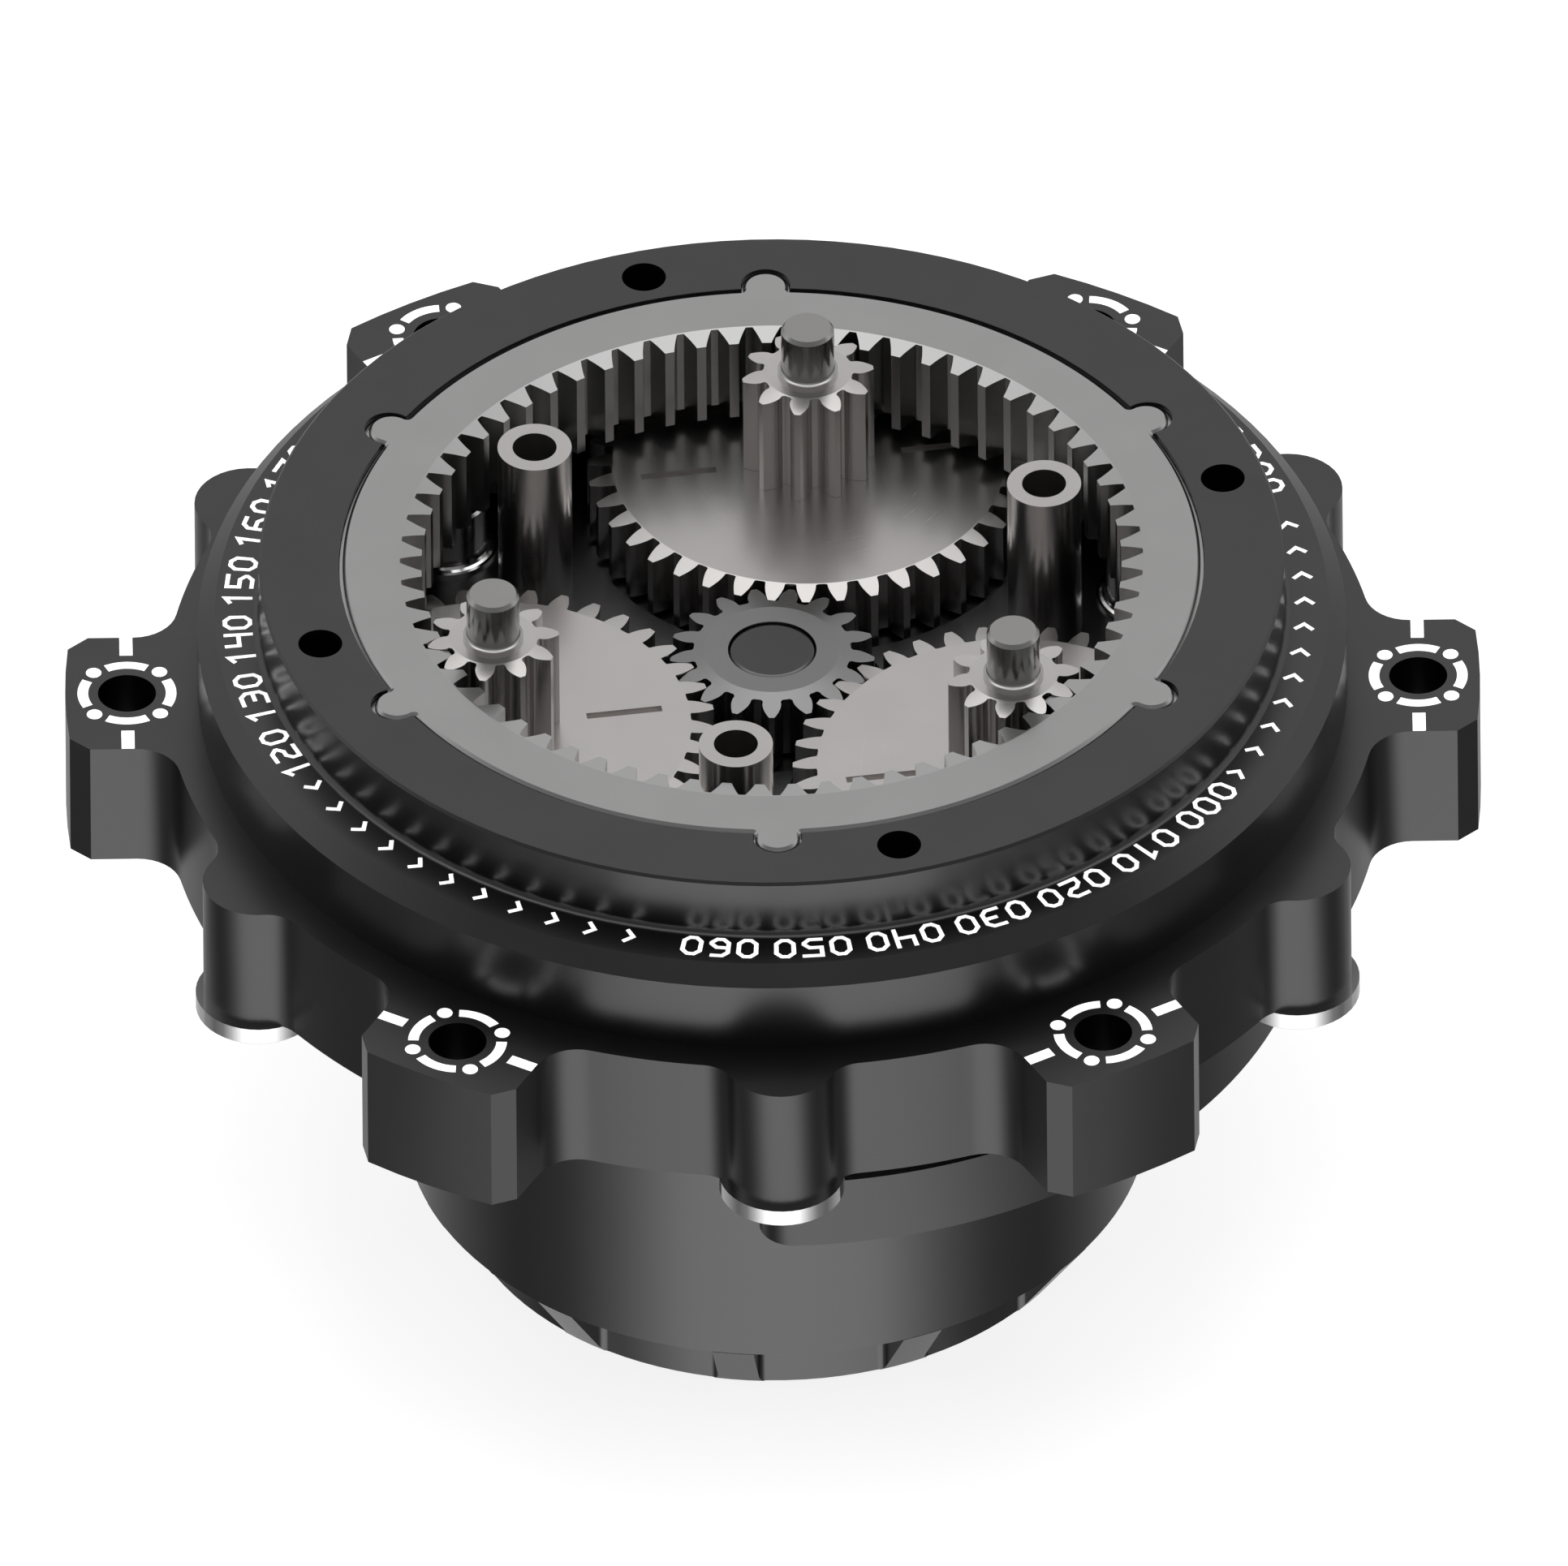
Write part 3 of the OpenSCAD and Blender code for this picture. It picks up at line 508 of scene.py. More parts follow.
# ---------------------------------------------------------------- repeats
def array_tree(name, sweep):
    """Geometry Nodes: groups of copies turned about the main axis. With sweep, the input is a curve and
    is first swept to a wire."""
    tree = bpy.data.node_groups.new(name, "GeometryNodeTree")
    sockets = [("Geometry", "Geometry"), ("Copies", "Int"), ("Step", "Float"), ("Groups", "Int"),
               ("Group Step", "Float"), ("First Angle", "Float"), ("Material", "Material")]
    if sweep:
        sockets.append(("Wire Radius", "Float"))
    for label, kind in sockets:
        tree.interface.new_socket(label, in_out="INPUT", socket_type="NodeSocket" + kind)
    tree.interface.new_socket("Geometry", in_out="OUTPUT", socket_type="NodeSocketGeometry")
    given = tree.nodes.new("NodeGroupInput").outputs
    source = given["Geometry"]
    if sweep:
        ring = node(tree, "GeometryNodeCurvePrimitiveCircle", {
            "Resolution": WIRE_SIDES, "Radius": given["Wire Radius"]})
        swept = node(tree, "GeometryNodeCurveToMesh", {
            "Curve": source, "Profile Curve": ring.outputs["Curve"], "Fill Caps": True})
        source = swept.outputs["Mesh"]
    total = math_node(tree, "MULTIPLY", given["Copies"], given["Groups"])
    points = node(tree, "GeometryNodePoints", {"Count": total})
    index = node(tree, "GeometryNodeInputIndex").outputs["Index"]
    in_group = math_node(tree, "MODULO", index, given["Copies"])
    group = math_node(tree, "FLOOR", math_node(tree, "DIVIDE", index, given["Copies"]))
    angle = math_node(tree, "MULTIPLY_ADD", in_group, given["Step"], given["First Angle"])
    angle = math_node(tree, "MULTIPLY_ADD", group, given["Group Step"], angle)
    turn = node(tree, "ShaderNodeCombineXYZ", {"Z": angle})
    turned = node(tree, "FunctionNodeEulerToRotation", {"Euler": turn.outputs["Vector"]})
    copies = node(tree, "GeometryNodeInstanceOnPoints", {
        "Points": points.outputs[0], "Instance": source, "Rotation": turned.outputs["Rotation"]})
    real = node(tree, "GeometryNodeRealizeInstances", {"Geometry": copies.outputs["Instances"]})
    finished = node(tree, "GeometryNodeSetMaterial", {
        "Geometry": real.outputs["Geometry"], "Material": given["Material"]})
    out = tree.nodes.new("NodeGroupOutput")
    tree.links.new(finished.outputs["Geometry"], out.inputs["Geometry"])
    return tree


def repeat(name, data, tree, values):
    """A plain mesh object made by running the tree on the data, with its inputs set by socket identifier."""
    source = placed(name + "_source", data)
    modifier = source.modifiers.new("repeat", "NODES")
    modifier.node_group = tree
    names = {s.name: s.identifier for s in tree.interface.items_tree if s.in_out == "INPUT"}
    for label, value in values.items():
        modifier[names[label]] = value
    bpy.context.view_layer.update()
    mesh = evaluated_mesh(source)
    bpy.data.objects.remove(source)
    mesh.name = name
    return placed(name, mesh)


# ---------------------------------------------------------------- printed shapes
def raise_outline(build, outline, low, high):
    """A closed print film over a convex outline. low and high give the height at a point."""
    bottom = [build.verts.new((x, y, low(x, y))) for x, y in outline]
    top = [build.verts.new((x, y, high(x, y))) for x, y in outline]
    build.faces.new(top)
    build.faces.new(bottom[::-1])
    for i in range(len(outline)):
        j = (i + 1) % len(outline)
        build.faces.new((bottom[i], bottom[j], top[j], top[i]))


def stroke_outlines(points, width, closed=False):
    """Convex four-cornered outlines along a line of the given width, mitred at its corners."""
    points = [Vector(p) for p in points]
    count = len(points)
    sides = []
    for i, point in enumerate(points):
        before = points[i - 1] if closed or i else None
        after = points[(i + 1) % count] if closed or i + 1 < count else None
        into = (point - before).normalized() if before is not None else (after - point).normalized()
        away = (after - point).normalized() if after is not None else into
        middle = (into + away).normalized()
        across = Vector((-middle.y, middle.x))
        reach = width / 2 / max(0.35, across.dot(Vector((-into.y, into.x))))
        sides.append((point + across * reach, point - across * reach))
    outlines = []
    for i in range(count if closed else count - 1):
        left, right = sides[i]
        next_left, next_right = sides[(i + 1) % count]
        outlines.append([right, next_right, next_left, left])
    return outlines


def digit_strokes(digit, width, height, stroke):
    """Centre lines of one squarish digit with cut corners, in a box from (0, 0), and whether each is closed."""
    x0, y0 = stroke / 2, stroke / 2
    x1, y1 = width - stroke / 2, height - stroke / 2
    ym = (y0 + y1) / 2
    cut = DIGIT_CUT * MM
    join = stroke / 2
    loop = [(x0 + cut, y0), (x1 - cut, y0), (x1, y0 + cut), (x1, y1 - cut), (x1 - cut, y1), (x0 + cut, y1),
            (x0, y1 - cut), (x0, y0 + cut)]
    middle = x0 + 0.58 * (x1 - x0)
    return {
        "0": [(loop, True)],
        "1": [([(x0 + 0.1 * MM, y1 - 0.3 * MM), (middle, y1), (middle, y0 - join)], False)],
        "2": [([(x0 - join, y1), (x1 - cut, y1), (x1, y1 - cut), (x1, ym + cut), (x1 - cut, ym), (x0 + cut, ym),
                (x0, ym - cut), (x0, y0), (x1 + join, y0)], False)],
        "3": [([(x0 - join, y1), (x1 - cut, y1), (x1, y1 - cut), (x1, y0 + cut), (x1 - cut, y0),
                (x0 - join, y0)], False),
              ([(x0 + 0.2 * MM, ym), (x1 - join, ym)], False)],
        "4": [([(x0, y1 + join), (x0, ym), (x1 - join, ym)], False),
              ([(x1, y1 + join), (x1, y0 - join)], False)],
        "5": [([(x1 + join, y1), (x0, y1), (x0, ym), (x1 - cut, ym), (x1, ym - cut), (x1, y0 + cut),
                (x1 - cut, y0), (x0 - join, y0)], False)],
        "6": [([(x1, y1), (x0 + cut, y1), (x0, y1 - cut), (x0, y0 + cut), (x0 + cut, y0), (x1 - cut, y0),
                (x1, y0 + cut), (x1, ym - cut), (x1 - cut, ym), (x0 + join, ym)], False)],
        "7": [([(x0 - join, y1), (x1, y1), (x0 + 0.35 * (x1 - x0), y0 - join)], False)],
        "8": [(loop, True), ([(x0 + join, ym), (x1 - join, ym)], False)],
        "9": [([(x0, y0), (x1 - cut, y0), (x1, y0 + cut), (x1, y1 - cut), (x1 - cut, y1), (x0 + cut, y1),
                (x0, y1 - cut), (x0, ym + cut), (x0 + cut, ym), (x1 - join, ym)], False)],
    }[digit]


def step_height(x, y):
    """Height of the printed step's sloping face at a point."""
    out = (math.hypot(x, y) / MM - STEP_INNER) / (STEP_OUTER - STEP_INNER)
    return (STEP_TOP - STEP_FALL * max(0.0, out)) * MM


def on_dial(point, base, angle):
    """Lays a point that is read clockwise onto the dial: x runs clockwise from angle, y outwards from base."""
    radius = base + point[1]
    turn = angle - point[0] / (base + DIGIT_TRUE * MM)
    return radius * math.cos(turn), radius * math.sin(turn)


def print_on_dial(build, outlines, base, angle, ink_height):
    """Adds the ink over outlines that are laid onto the dial."""
    for outline in outlines:
        laid = [on_dial(p, base, angle) for p in outline]
        raise_outline(build, laid[::-1], lambda x, y: step_height(x, y) - INK_SINK * MM,
                      lambda x, y: step_height(x, y) + ink_height)


def white_ink(colour):
    """Matt screen ink with a slightly uneven film, made once."""
    if "white_ink" in bpy.data.materials:
        return bpy.data.materials["white_ink"]
    material, tree, shader = new_material("white_ink")
    film = noise(tree, millimetres(tree), 5.0, Detail=3.0)
    tone = mix_colours(tree, film, (*[0.97 * c for c in colour], 1.0), (*colour, 1.0))
    tree.links.new(tone, shader.inputs["Base Color"])
    tree.links.new(map_range(tree, film, 0.45, 0.6), shader.inputs["Roughness"])
    tree.links.new(bump(tree, film, INK_GRAIN).outputs["Normal"], shader.inputs["Normal"])
    return material


def drop_inner_walls(build):
    """Deletes the walls that two joined films share, and their double."""
    seen = {}
    for face in build.faces:
        seen.setdefault(frozenset(v.index for v in face.verts), []).append(face)
    double = [face for faces in seen.values() if len(faces) > 1 for face in faces]
    bmesh.ops.delete(build, geom=double, context="FACES")


# ---------------------------------------------------------------- the ring gear's rim
def keyed_outline(radius, key_place, key_radius, fillet, height):
    """Points round a rim with six half-round keys, filleted into it; always the same number of points."""
    lean = math.acos((key_place ** 2 + (radius + fillet) ** 2 - (key_radius + fillet) ** 2)
                     / (2 * key_place * (radius + fillet)))
    points = []

    def sweep(middle, reach, start, end, parts):
        for i in range(parts):
            a = start + (end - start) * i / parts
            points.append((middle[0] + reach * math.cos(a), middle[1] + reach * math.sin(a), height))

    half = math.pi / LUGS
    for k in range(LUGS):
        at = math.radians((k + 0.5) * 360 / LUGS)
        key = key_place * math.cos(at), key_place * math.sin(at)
        corners = []
        for side in (-1, 1):
            turn = at + side * lean
            middle = ((radius + fillet) * math.cos(turn), (radius + fillet) * math.sin(turn))
            corners.append((middle, math.atan2(middle[1] - key[1], middle[0] - key[0])))
        (first, into), (second, away) = corners
        inward = at - lean + math.pi
        bend = (into + math.pi - inward + math.pi) % (2 * math.pi) - math.pi
        swing = (away - into) % (2 * math.pi)
        sweep((0, 0), radius, at - half, at - lean, ROUND_PARTS)
        sweep(first, fillet, inward, inward + bend, FILLET_PARTS)
        sweep(key, key_radius, into, into + swing, ROUND_PARTS)
        sweep(second, fillet, away + math.pi, away + math.pi + bend, FILLET_PARTS)
        sweep((0, 0), radius, at + lean, at + half, ROUND_PARTS)
    return points


# ---------------------------------------------------------------- operators
class ACTUATOR_OT_finishes(Operator):
    """Gives every machined part its metal finish"""

    bl_idname = "actuator.finishes"
    bl_label = "Metal finishes"

    def execute(self, context):
        look = context.scene.actuator_finish
        housing = metal("black_anodised", look.black, 0.31, grain=look.grain)
        finishes = {
            "housing": housing, "half_flange": housing, "motor_base": housing,
            "ring_gear": metal("ring_steel", look.ring_steel, 0.24, turned=0.8 * TURNING, tint=0.02),
            "sun_gear": metal("sun_steel", look.sun_steel, 0.26, turned=TURNING, tint=0.03),
            "motor_shaft": metal("shaft_steel", SHAFT_STEEL, 0.22, turned=TURNING),
            "carrier_base": metal("dark_aluminium", look.carrier, 0.3, turned=1.6 * TURNING),
            "rotor_can": metal("motor_can_black", look.motor_black, 0.22, turned=TURNING, turned_size=0.2),
            "end_bell": metal("motor_bell_black", look.motor_black, 0.24, turned=TURNING, turned_size=0.2),
            "magnets": metal("nickel_plate", NICKEL, 0.2, grain=PLATE_GRAIN),
            "stator_core": metal("lamination_steel", LAMINATION, 0.42, turned=60 * TURNING, turned_size=0.35),
            "stator_windings": metal("copper_wire", look.copper, 0.3),
            "main_bearing_cage": metal("cage_brass", CAGE_BRASS, 0.3, grain=BRASS_GRAIN),
        }
        bright = metal("bright_steel", look.bright_steel, 0.13, turned=0.4 * TURNING, tint=0.02)
        for name in ("main_bearing_outer", "main_bearing_inner", "main_bearing_balls", "main_bearing_shields",
                     "motor_bearing_front", "motor_bearing_rear", "planet_bearing_1", "planet_bearing_2",
                     "planet_bearing_3", "bearing_screws", "clamp_screws", "motor_screws"):
            finishes[name] = bright
        for k in range(PLANETS):
            planet, post = planet_turn(k), planet_turn(k - 0.5)
            for node_name, finish, rough, turned, tint, centre in (
                    ("planet_gear", "planet_steel", 0.25, 0.2 * TURNING, 0.02, round_place(PLANET_R, planet)),
                    ("planet_pinion", "pinion_steel", 0.24, 0.8 * TURNING, 0.03, round_place(PLANET_R, planet)),
                    ("post", "post_steel", 0.24, 0.8 * TURNING, 0.03, round_place(POST_R, post))):
                finishes[f"{node_name}_{k + 1}"] = metal(
                    f"{finish}_{k + 1}", look.planet_steel, rough, turned=turned, tint=tint, centre=centre)
        missing = sorted(set(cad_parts) - set(finishes))
        if missing:
            raise RuntimeError(f"no finish is named for {missing}")
        for name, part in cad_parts.items():
            part.data.materials.clear()
            part.data.materials.append(finishes[name])
        return {"FINISHED"}


class ACTUATOR_OT_lug_marks(Operator):
    """Prints the ring of arcs, dots and bars round each lug hole"""

    bl_idname = "actuator.lug_marks"
    bl_label = "Lug marks"

    def execute(self, context):
        marks = context.scene.actuator_print
        build = bmesh.new()
        hole = LUG_HOLE_R * MM

        def film(outline):
            """Ink over an outline that is laid from the middle of the first lug's hole."""
            raise_outline(build, [(hole + x, y) for x, y in outline], lambda x, y: (LUG_TOP - INK_SINK) * MM,
                          lambda x, y: LUG_TOP * MM + marks.height)

        inner, outer, parts = RING_IN * MM, RING_OUT * MM, ROUND_PARTS // 2
        for side in range(4):
            for i in range(parts):
                a, b = (90 * side + RING_HALF_ARC * (2 * t / parts - 1) for t in (i, i + 1))
                film([round_place(r, t) for r, t in ((inner, a), (outer, a), (outer, b), (inner, b))])
            x, y = round_place(DOT_PLACE * MM, 90 * side + 45)
            dot = [round_place(DOT_R * MM, 360 * t / ROUND_PARTS) for t in range(ROUND_PARTS)]
            film([(x + dx, y + dy) for dx, dy in dot])
        wide = BAR_HALF_WIDTH * MM
        for side in (-1, 1):
            y0, y1 = sorted((side * BAR_IN * MM, side * (LUG_HALF_WIDTH - BAR_EDGE) * MM))
            film([(-wide, y0), (wide, y0), (wide, y1), (-wide, y1)])
        bmesh.ops.remove_doubles(build, verts=build.verts, dist=PRINT_MERGE * MM)
        drop_inner_walls(build)
        made = repeat("lug_marks", finish_mesh(build, "lug_mark"), array_tree("around_axis_lugs", False), {
            "Copies": 1, "Groups": LUGS, "Group Step": 2 * math.pi / LUGS, "Material": white_ink(marks.ink)})
        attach(made, "output")
        return {"FINISHED"}


class ACTUATOR_OT_ring_rim(Operator):
    """Gives the toothed ring its outer rim: a chamfered edge, a ledge below it and six half-round keys"""

    bl_idname = "actuator.ring_rim"
    bl_label = "Ring gear rim"

    def execute(self, context):
        rim = context.scene.actuator_rim
        build = cad_copy("ring_gear")
        low = min(v.co.z for v in build.verts)
        top = max(v.co.z for v in build.verts)
        outside = [f for f in build.faces if any(v.co.xy.length > TEETH_END * MM for v in f.verts)]
        bmesh.ops.delete(build, geom=outside, context="FACES")
        open_edges = [e for e in build.edges if len(e.link_faces) == 1]
        middle = (low + top) / 2
        rims = {"low": [e for e in open_edges if all(v.co.z < middle for v in e.verts)],
                "top": [e for e in open_edges if all(v.co.z > middle for v in e.verts)]}
        ledge, edge = top - rim.rebate, top - rim.chamfer
        seat = (RIM_SEAT * MM, KEY_SEAT * MM, KEY_SEAT_R * MM, SEAT_FILLET * MM)
        upper = (rim.radius, rim.key_place, rim.key_radius, rim.fillet)
        face = (rim.radius - rim.chamfer, rim.key_place, rim.key_radius - rim.chamfer, rim.fillet + rim.chamfer)
        rows = [[build.verts.new(p) for p in keyed_outline(*sizes, height)] for sizes, height in (
            (seat, low), (seat, ledge), (upper, ledge), (upper, edge), (face, top))]
        count = len(rows[0])
        for under, over in zip(rows, rows[1:]):
            for i in range(count):
                j = (i + 1) % count
                build.faces.new((under[i], under[j], over[j], over[i]))
        for end, row in (("low", rows[0]), ("top", rows[-1])):
            loop = [build.edges.get((row[i], row[(i + 1) % count])) for i in range(count)]
            bmesh.ops.triangle_fill(build, edges=loop + rims[end], use_beauty=True)
        gaps = [e for e in build.edges if len(e.link_faces) != 2]
        if gaps:
            raise RuntimeError(f"the ring gear's rim has {len(gaps)} open edges")
        stand_in("ring_gear_rimmed", build, "ring_gear", "output", "gear_steel")
        return {"FINISHED"}


class ACTUATOR_OT_round_walls(Operator):
    """Shows the curved walls of the housing, the half-round flange and the end bell without facets"""

    bl_idname = "actuator.round_walls"
    bl_label = "Round walls"

    def execute(self, context):
        for name, body, slot in (("housing", "output", "black_anodised"),
                                 ("half_flange", "carrier", "black_anodised"),
                                 ("end_bell", "rotor", "motor_black")):
            stand_in(name + "_rounded", cad_copy(name), name, body, slot)
        return {"FINISHED"}


class ACTUATOR_OT_gear_details(Operator):
    """Shows the shaft flush in the sun gear, the planets' pins with crisp edges and their timing marks deep"""

    bl_idname = "actuator.gear_details"
    bl_label = "Gear details"

    def execute(self, context):
        details = context.scene.actuator_details
        shaft = cad_copy("motor_shaft")
        end = max(v.co.z for v in shaft.verts)
        for vert in shaft.verts:
            if vert.co.z > end - SHAFT_TIP * MM:
                vert.co.z += details.shaft_lift
        stand_in("motor_shaft_flush", shaft, "motor_shaft", "rotor", "dark_gear_steel")
        look = context.scene.actuator_finish
        pin_steel = metal("pin_steel", look.pin_steel, 0.2, turned=0.4 * TURNING, tint=0.02)
        for k in range(PLANETS):
            centre = Vector((*round_place(PLANET_R * MM, planet_turn(k)), 0.0))
            body, gear, pinion = f"planet_{k + 1}", f"planet_gear_{k + 1}", f"planet_pinion_{k + 1}"
            build = cad_copy(gear)
            self.deepen_marks(build, centre, details)
            stand_in(gear + "_marked", build, gear, body, "gear_steel")
            build = cad_copy(pinion)
            self.renew_pin(build, centre, details)
            stand_in(pinion + "_pinned", build, pinion, body, "gear_steel", pin_steel)
        return {"FINISHED"}

    def deepen_marks(self, build, centre, details):
        """Widens the two marks on a planet's face about their middle lines, and lowers their floors."""
        top = max(v.co.z for v in build.verts)
        for degrees in MARK_TURNS:
            along = Vector((*round_place(1.0, degrees), 0.0))
            across = Vector((-along.y, along.x, 0.0))
            for vert in build.verts:
                out = vert.co - centre
                aside = out.dot(across)
                inside = MARK_IN * MM < out.dot(along) < MARK_OUT * MM and abs(aside) < MARK_REACH * MM
                if inside and vert.co.z > top - MARK_REACH * MM:
                    vert.co += (math.copysign(details.mark_width / 2, aside) - aside) * across
                    if vert.co.z < top - MARK_FLOOR * MM:
                        vert.co.z = top - details.mark_depth

    def renew_pin(self, build, centre, details):
        """Cuts the pin off at the edge of its collar and turns it anew."""
        end = max(v.co.z for v in build.verts)
        outside = (PIN_R + 10 * HAIR) * MM
        collar = max(v.co.z for v in build.verts if (v.co - centre).xy.length > outside)
        pin = [f for f in build.faces if all(v.co.z > collar - HAIR * MM for v in f.verts)]
        bmesh.ops.delete(build, geom=pin, context="FACES")
        rim = {v for e in build.edges if len(e.link_faces) == 1 for v in e.verts}
        if not rim:
            raise RuntimeError("the pinion has no collar to turn a pin on")

        def turn(vert):
            return math.atan2(vert.co.y - centre.y, vert.co.x - centre.x)

        row = sorted(rim, key=turn)
        turns = [turn(v) for v in row]
        chamfer, bend, radius = details.pin_chamfer, details.pin_fillet, PIN_R * MM
        foot = collar + PIN_FOOT * MM
        profile = [(radius + bend, foot)]
        profile += [(radius + bend * (1 - math.sin(t)), foot + bend * (1 - math.cos(t)))
                    for t in (math.pi * i / 8 for i in (1, 2, 3, 4))]
        profile += [(radius, end - CHAMFER_SLOPE * chamfer), (radius - chamfer, end)]
        for size, height in profile:
            over = [build.verts.new((centre.x + size * math.cos(t), centre.y + size * math.sin(t), height))
                    for t in turns]
            for i, vert in enumerate(row):
                j = (i + 1) % len(row)
                build.faces.new((vert, row[j], over[j], over[i])).material_index = 1
            row = over
        build.faces.new(row).material_index = 1


class ACTUATOR_OT_dial(Operator):
    """Prints the dial on the housing's step: numbers every ten degrees, then arrows, in three arcs"""

    bl_idname = "actuator.dial"
    bl_label = "Dial"

    def execute(self, context):
        marks = context.scene.actuator_print
        ink = white_ink(marks.ink)
        base = STEP_INNER * MM
        arc = 2 * math.pi / marks.arcs
        pitch = marks.digit_width + marks.digit_gap
        build = bmesh.new()
        for group in range(marks.arcs):
            for k in range(marks.numbers):
                label = f"{round(math.degrees(arc)) * group + 10 * k:03d}"
                angle = marks.first_number - group * arc - math.radians(10 * k)
                left = -(len(label) * pitch - marks.digit_gap) / 2
                for place, digit in enumerate(label):
                    size = marks.digit_width, marks.digit_height, marks.stroke
                    for line, closed in digit_strokes(digit, *size):
                        outlines = stroke_outlines(line, marks.stroke, closed)
                        moved = [[(p[0] + left + place * pitch, p[1]) for p in o] for o in outlines]
                        print_on_dial(build, moved, base, angle, marks.height)
        numbers = placed("dial_numbers", finish_mesh(build, "dial_numbers"))
        numbers.data.materials.append(ink)
        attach(numbers, "output")

        build = bmesh.new()
        long, high, half = ARROW_LENGTH * MM, ARROW_HEIGHT * MM, marks.stroke / 2
        chevron = [(long - half, high - half), (half * 1.6, high / 2), (long - half, half)]
        print_on_dial(build, stroke_outlines(chevron, marks.stroke), base + ARROW_OUT * MM, 0.0, marks.height)
        mesh = finish_mesh(build, "dial_arrow")
        arrows = repeat("dial_arrows", mesh, array_tree("around_axis_arrows", False), {
            "Copies": marks.arrows, "Step": marks.arrow_step, "Groups": marks.arcs, "Group Step": -arc,
            "First Angle": marks.first_arrow, "Material": ink})
        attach(arrows, "output")
        return {"FINISHED"}


class ACTUATOR_OT_coils(Operator):
    """Winds a wire coil on each of the stator's teeth"""

    bl_idname = "actuator.coils"
    bl_label = "Motor coils"

    def execute(self, context):
        sizes = context.scene.actuator_coils
        radius = sizes.wire / 2
        half_y = TOOTH_HALF * MM + radius
        low, high = CORE_LOW * MM - radius * WIRE_CLEAR, CORE_HIGH * MM + radius * WIRE_CLEAR
        corner, per_corner, per_end = COIL_CORNER * MM, 3, 4
        loop = []
        for cy, cz, start in ((1, 1, 0), (-1, 1, 90), (-1, -1, 180), (1, -1, 270)):
            y = cy * (half_y - corner)
            z = (high - corner) if cz > 0 else (low + corner)
            for i in range(per_corner + 1):
                a = math.radians(start + 90 * i / per_corner)
                loop.append((y + corner * math.cos(a), z + corner * math.sin(a)))
            if start in (0, 180):
                for i in range(1, per_end):
                    t = i / per_end
                    y_end = y * (1 - 2 * t)
                    bow = sizes.bow * (1 - (1 - 2 * t) ** 2)
                    loop.append((y_end, (high + bow) if cz > 0 else (low - bow)))
        travel = (COIL_OUT - COIL_IN) * MM - sizes.wire
        points = []
        for turn in range(sizes.turns):
            for i, (y, z) in enumerate(loop):
                along = (turn + i / len(loop)) / sizes.turns
                points.append((COIL_IN * MM + radius + travel * along, y, z))
        wire = bpy.data.curves.new("coil_path", "CURVE")
        wire.dimensions = "3D"
        spline = wire.splines.new("POLY")
        spline.points.add(len(points) - 1)
        for point, place in zip(spline.points, points):
            point.co = (*place, 1.0)
        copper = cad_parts["stator_windings"].data.materials[0]
        coils = repeat("motor_coils", wire, array_tree("wound_teeth", True), {
            "Copies": STATOR_TEETH, "Step": 2 * math.pi / STATOR_TEETH, "Groups": 1, "Material": copper,
            "Wire Radius": radius})
        coils.data.shade_smooth()
        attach(coils, "carrier")
        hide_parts("stator_windings")
        return {"FINISHED"}


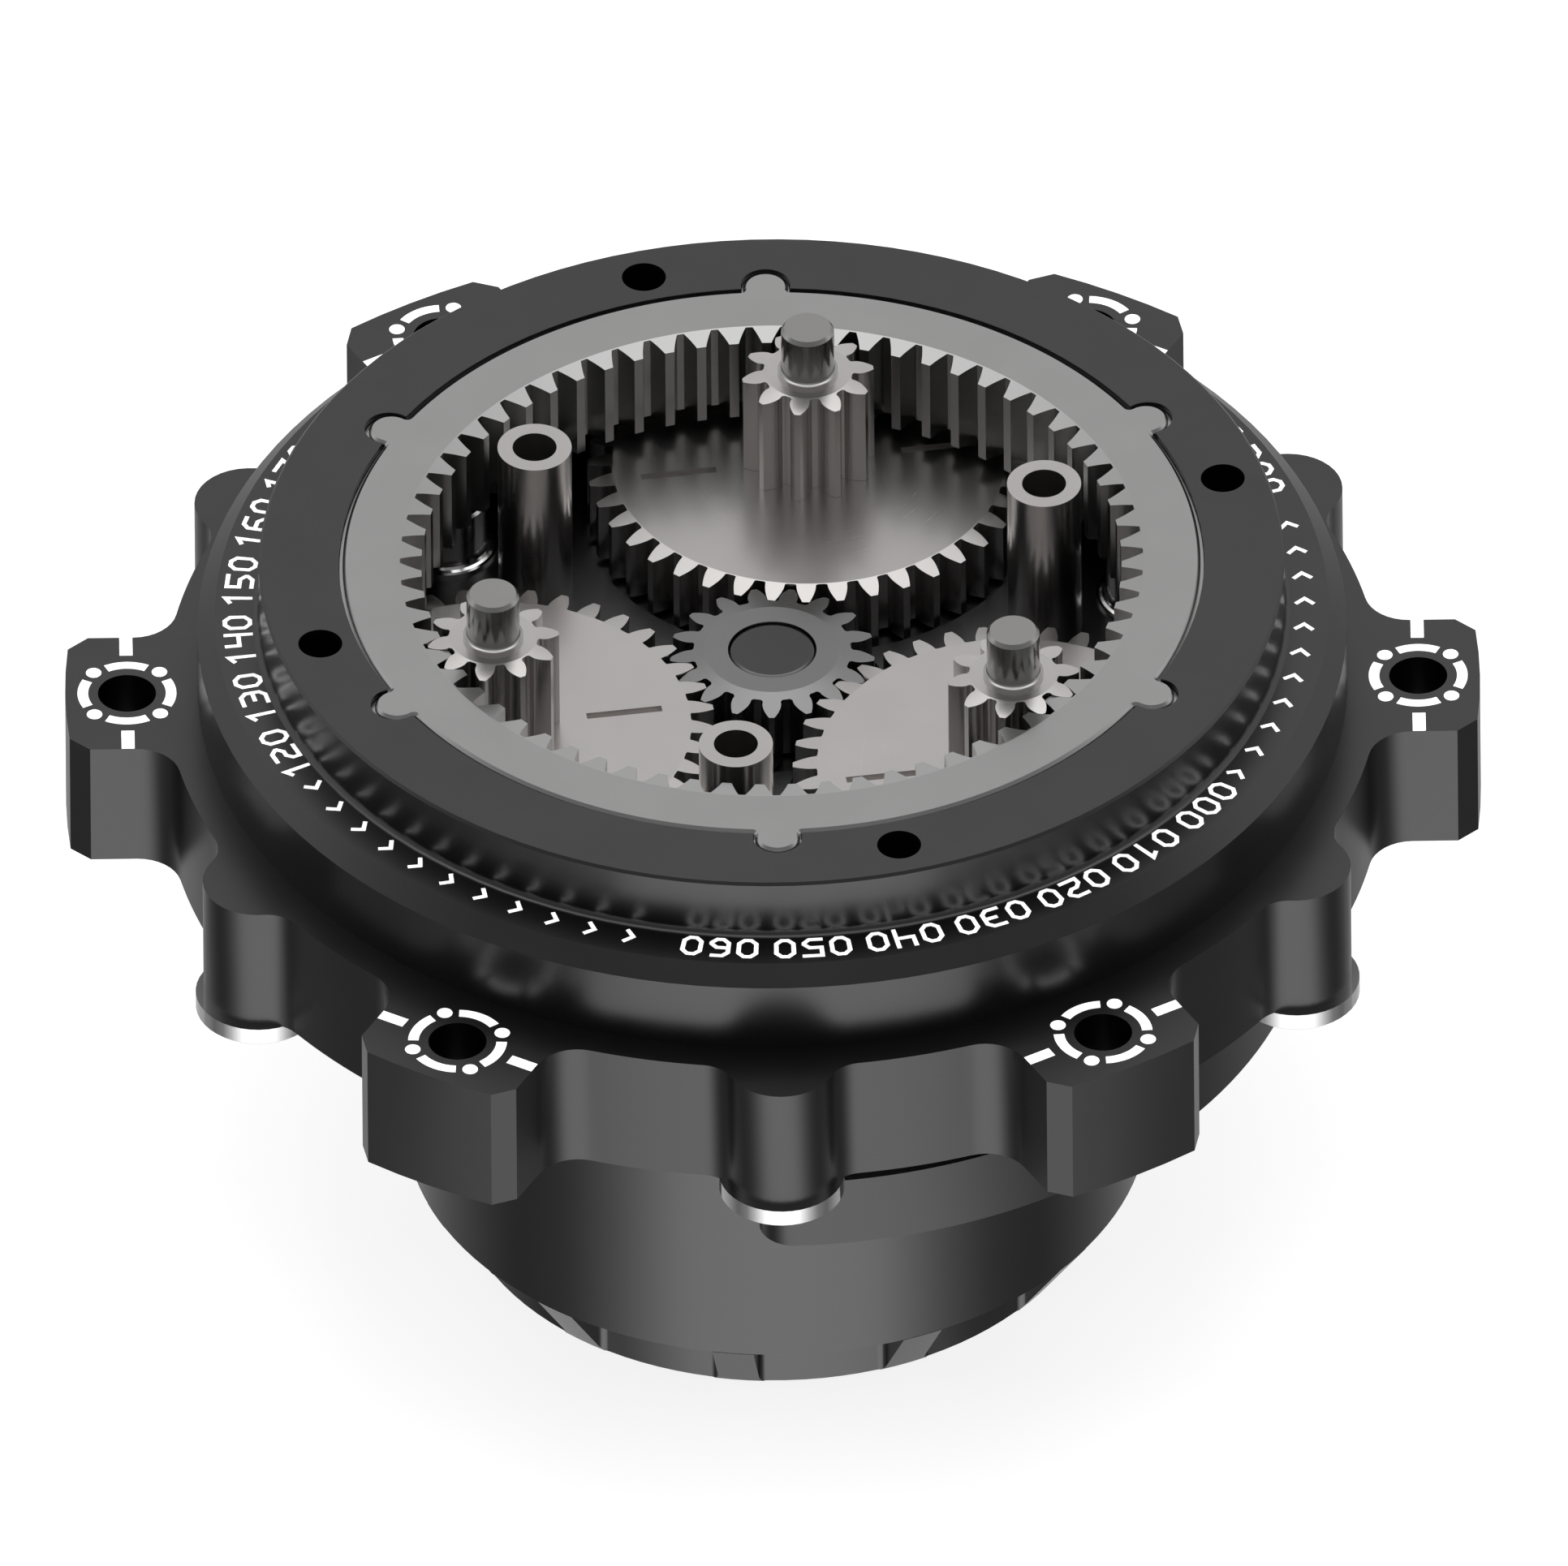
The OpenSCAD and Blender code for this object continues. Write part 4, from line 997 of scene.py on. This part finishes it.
class ACTUATOR_OT_stage(Operator):
    """Sets the floor, the lamp, the surroundings and the camera"""

    bl_idname = "actuator.stage"
    bl_label = "Stage"

    def execute(self, context):
        scene, stage = context.scene, context.scene.actuator_stage
        scene.view_settings.view_transform = "Standard"
        self.floor()
        self.surround(scene, stage)
        self.lamp()
        self.camera(scene, stage)
        return {"FINISHED"}

    def floor(self):
        """A pale floor that can be seen through from below."""
        build = bmesh.new()
        build.faces.new([build.verts.new((x * FLOOR_HALF, y * FLOOR_HALF, -FLOOR_DROP))
                         for x, y in ((-1, -1), (1, -1), (1, 1), (-1, 1))])
        made = placed("floor", finish_mesh(build, "floor"))
        material = bpy.data.materials.new("studio_floor")
        tree = emptied_tree(material)
        out = tree.nodes.new("ShaderNodeOutputMaterial")
        to_camera = node(tree, "ShaderNodeLightPath").outputs["Is Camera Ray"]
        matt = node(tree, "ShaderNodeBsdfDiffuse", {"Color": FLOOR_MATT})
        pale = node(tree, "ShaderNodeBsdfDiffuse", {"Color": FLOOR_SEEN})
        glow = node(tree, "ShaderNodeEmission", {"Color": WHITE, "Strength": FLOOR_GLOW})
        seen = node(tree, "ShaderNodeAddShader", {0: pale.outputs[0], 1: glow.outputs[0]})
        shown = mix_shaders(tree, to_camera, matt, seen)
        below = node(tree, "ShaderNodeNewGeometry").outputs["Backfacing"]
        done = mix_shaders(tree, below, shown, node(tree, "ShaderNodeBsdfTransparent"))
        tree.links.new(done.outputs[0], out.inputs["Surface"])
        made.data.materials.append(material)
        made.visible_glossy = False

    def surround(self, scene, stage):
        """Soft surroundings: below the horizon a table that is lit in front, and above it a sky that is
        brightest high up and dim in front. The camera sees plain white."""
        scene.world = bpy.data.worlds.new("studio")
        tree = emptied_tree(scene.world)
        out = tree.nodes.new("ShaderNodeOutputWorld")
        direction = node(tree, "ShaderNodeTexCoord").outputs["Generated"]
        towards = node(tree, "ShaderNodeSeparateXYZ", {0: direction})
        back = math_node(tree, "MULTIPLY", towards.outputs["Y"], -1.0)
        angle = math_node(tree, "ABSOLUTE", math_node(tree, "ARCTAN2", towards.outputs["X"], back))
        share = math_node(tree, "DIVIDE", angle, math.pi)
        table = light_ramp(tree, share, TABLE_LIGHT)
        back_sky = light_ramp(tree, towards.outputs["Z"], BACK_SKY)
        front_sky = light_ramp(tree, towards.outputs["Z"], FRONT_SKY)
        sky = mix_colours(tree, blend_between(tree, towards.outputs["Y"], *SKY_MEET), front_sky, back_sky)
        both = mix_colours(tree, blend_between(tree, towards.outputs["Z"], *HORIZON), table, sky)
        to_camera = node(tree, "ShaderNodeLightPath").outputs["Is Camera Ray"]
        soft = node(tree, "ShaderNodeBackground", {"Color": both, "Strength": stage.front_light})
        white = node(tree, "ShaderNodeBackground", {"Color": WHITE, "Strength": 1.0})
        tree.links.new(mix_shaders(tree, to_camera, soft, white).outputs[0], out.inputs["Surface"])

    def lamp(self):
        """A large soft lamp overhead, which isn't seen in the metal."""
        data = bpy.data.lights.new("overhead_softbox", "AREA")
        data.shape = "SQUARE"
        data.size = LAMP_SIZE
        data.energy = LAMP_POWER
        made = placed("overhead_softbox", data)
        made.location = LAMP_PLACE
        made.rotation_mode = "QUATERNION"
        made.rotation_quaternion = (LAMP_AIM - LAMP_PLACE).to_track_quat("-Z", "Y")
        made.visible_glossy = False

    def camera(self, scene, stage):
        """The camera, which looks along parallel lines."""
        data = bpy.data.cameras.new("camera")
        data.type = "ORTHO"
        data.ortho_scale = stage.frame_width
        data.clip_start, data.clip_end = NEAR_CLIP, FAR_CLIP
        made = placed("camera", data)
        rise, round_ = stage.elevation, stage.azimuth
        back = Vector((math.sin(round_) * math.cos(rise), -math.cos(round_) * math.cos(rise), math.sin(rise)))
        turn = (-back).to_track_quat("-Z", "Y").to_matrix() @ Matrix.Rotation(stage.roll, 3, "Z")
        aim = Vector((0, 0, stage.aim_height)) + turn @ Vector((stage.aim_right, stage.aim_up, 0))
        made.rotation_mode = "QUATERNION"
        made.rotation_quaternion = turn.to_quaternion()
        made.location = aim + back * stage.distance
        scene.camera = made


class VIEW3D_PT_actuator(Panel):
    """Sizes and pieces of the actuator"""

    bl_label = "Actuator"
    bl_idname = "VIEW3D_PT_actuator"
    bl_space_type = "VIEW_3D"
    bl_region_type = "UI"
    bl_category = "Actuator"

    def draw(self, context):
        for title, group, operators in SECTIONS:
            box = self.layout.box()
            box.label(text=title)
            settings = getattr(context.scene, group)
            for key in settings.bl_rna.properties.keys():
                if key not in {"rna_type", "name"}:
                    box.prop(settings, key)
            for operator in operators:
                box.operator(operator)


SECTIONS = (
    ("Finish", "actuator_finish", ("actuator.finishes", "actuator.round_walls")),
    ("Ring gear", "actuator_rim", ("actuator.ring_rim",)),
    ("Gear details", "actuator_details", ("actuator.gear_details",)),
    ("Print", "actuator_print", ("actuator.lug_marks", "actuator.dial")),
    ("Coils", "actuator_coils", ("actuator.coils",)),
    ("Stage", "actuator_stage", ("actuator.stage",)),
)
GROUPS = {
    "actuator_finish": ActuatorFinish,
    "actuator_rim": ActuatorRim,
    "actuator_details": ActuatorDetails,
    "actuator_print": ActuatorPrint,
    "actuator_coils": ActuatorCoils,
    "actuator_stage": ActuatorStage,
}
CLASSES = (
    *GROUPS.values(), ACTUATOR_OT_finishes, ACTUATOR_OT_round_walls, ACTUATOR_OT_ring_rim,
    ACTUATOR_OT_gear_details, ACTUATOR_OT_lug_marks, ACTUATOR_OT_dial, ACTUATOR_OT_coils, ACTUATOR_OT_stage,
    VIEW3D_PT_actuator,
)


def register():
    for item in CLASSES:
        bpy.utils.register_class(item)
    for name, group in GROUPS.items():
        setattr(bpy.types.Scene, name, PointerProperty(type=group))


def unregister():
    for name in GROUPS:
        delattr(bpy.types.Scene, name)
    for item in reversed(CLASSES):
        bpy.utils.unregister_class(item)


def main():
    register()
    bpy.ops.actuator.finishes()
    bpy.ops.actuator.round_walls()
    bpy.ops.actuator.ring_rim()
    bpy.ops.actuator.gear_details()
    bpy.ops.actuator.lug_marks()
    bpy.ops.actuator.dial()
    bpy.ops.actuator.coils()
    bpy.ops.actuator.stage()


if __name__ == "__main__":
    main()
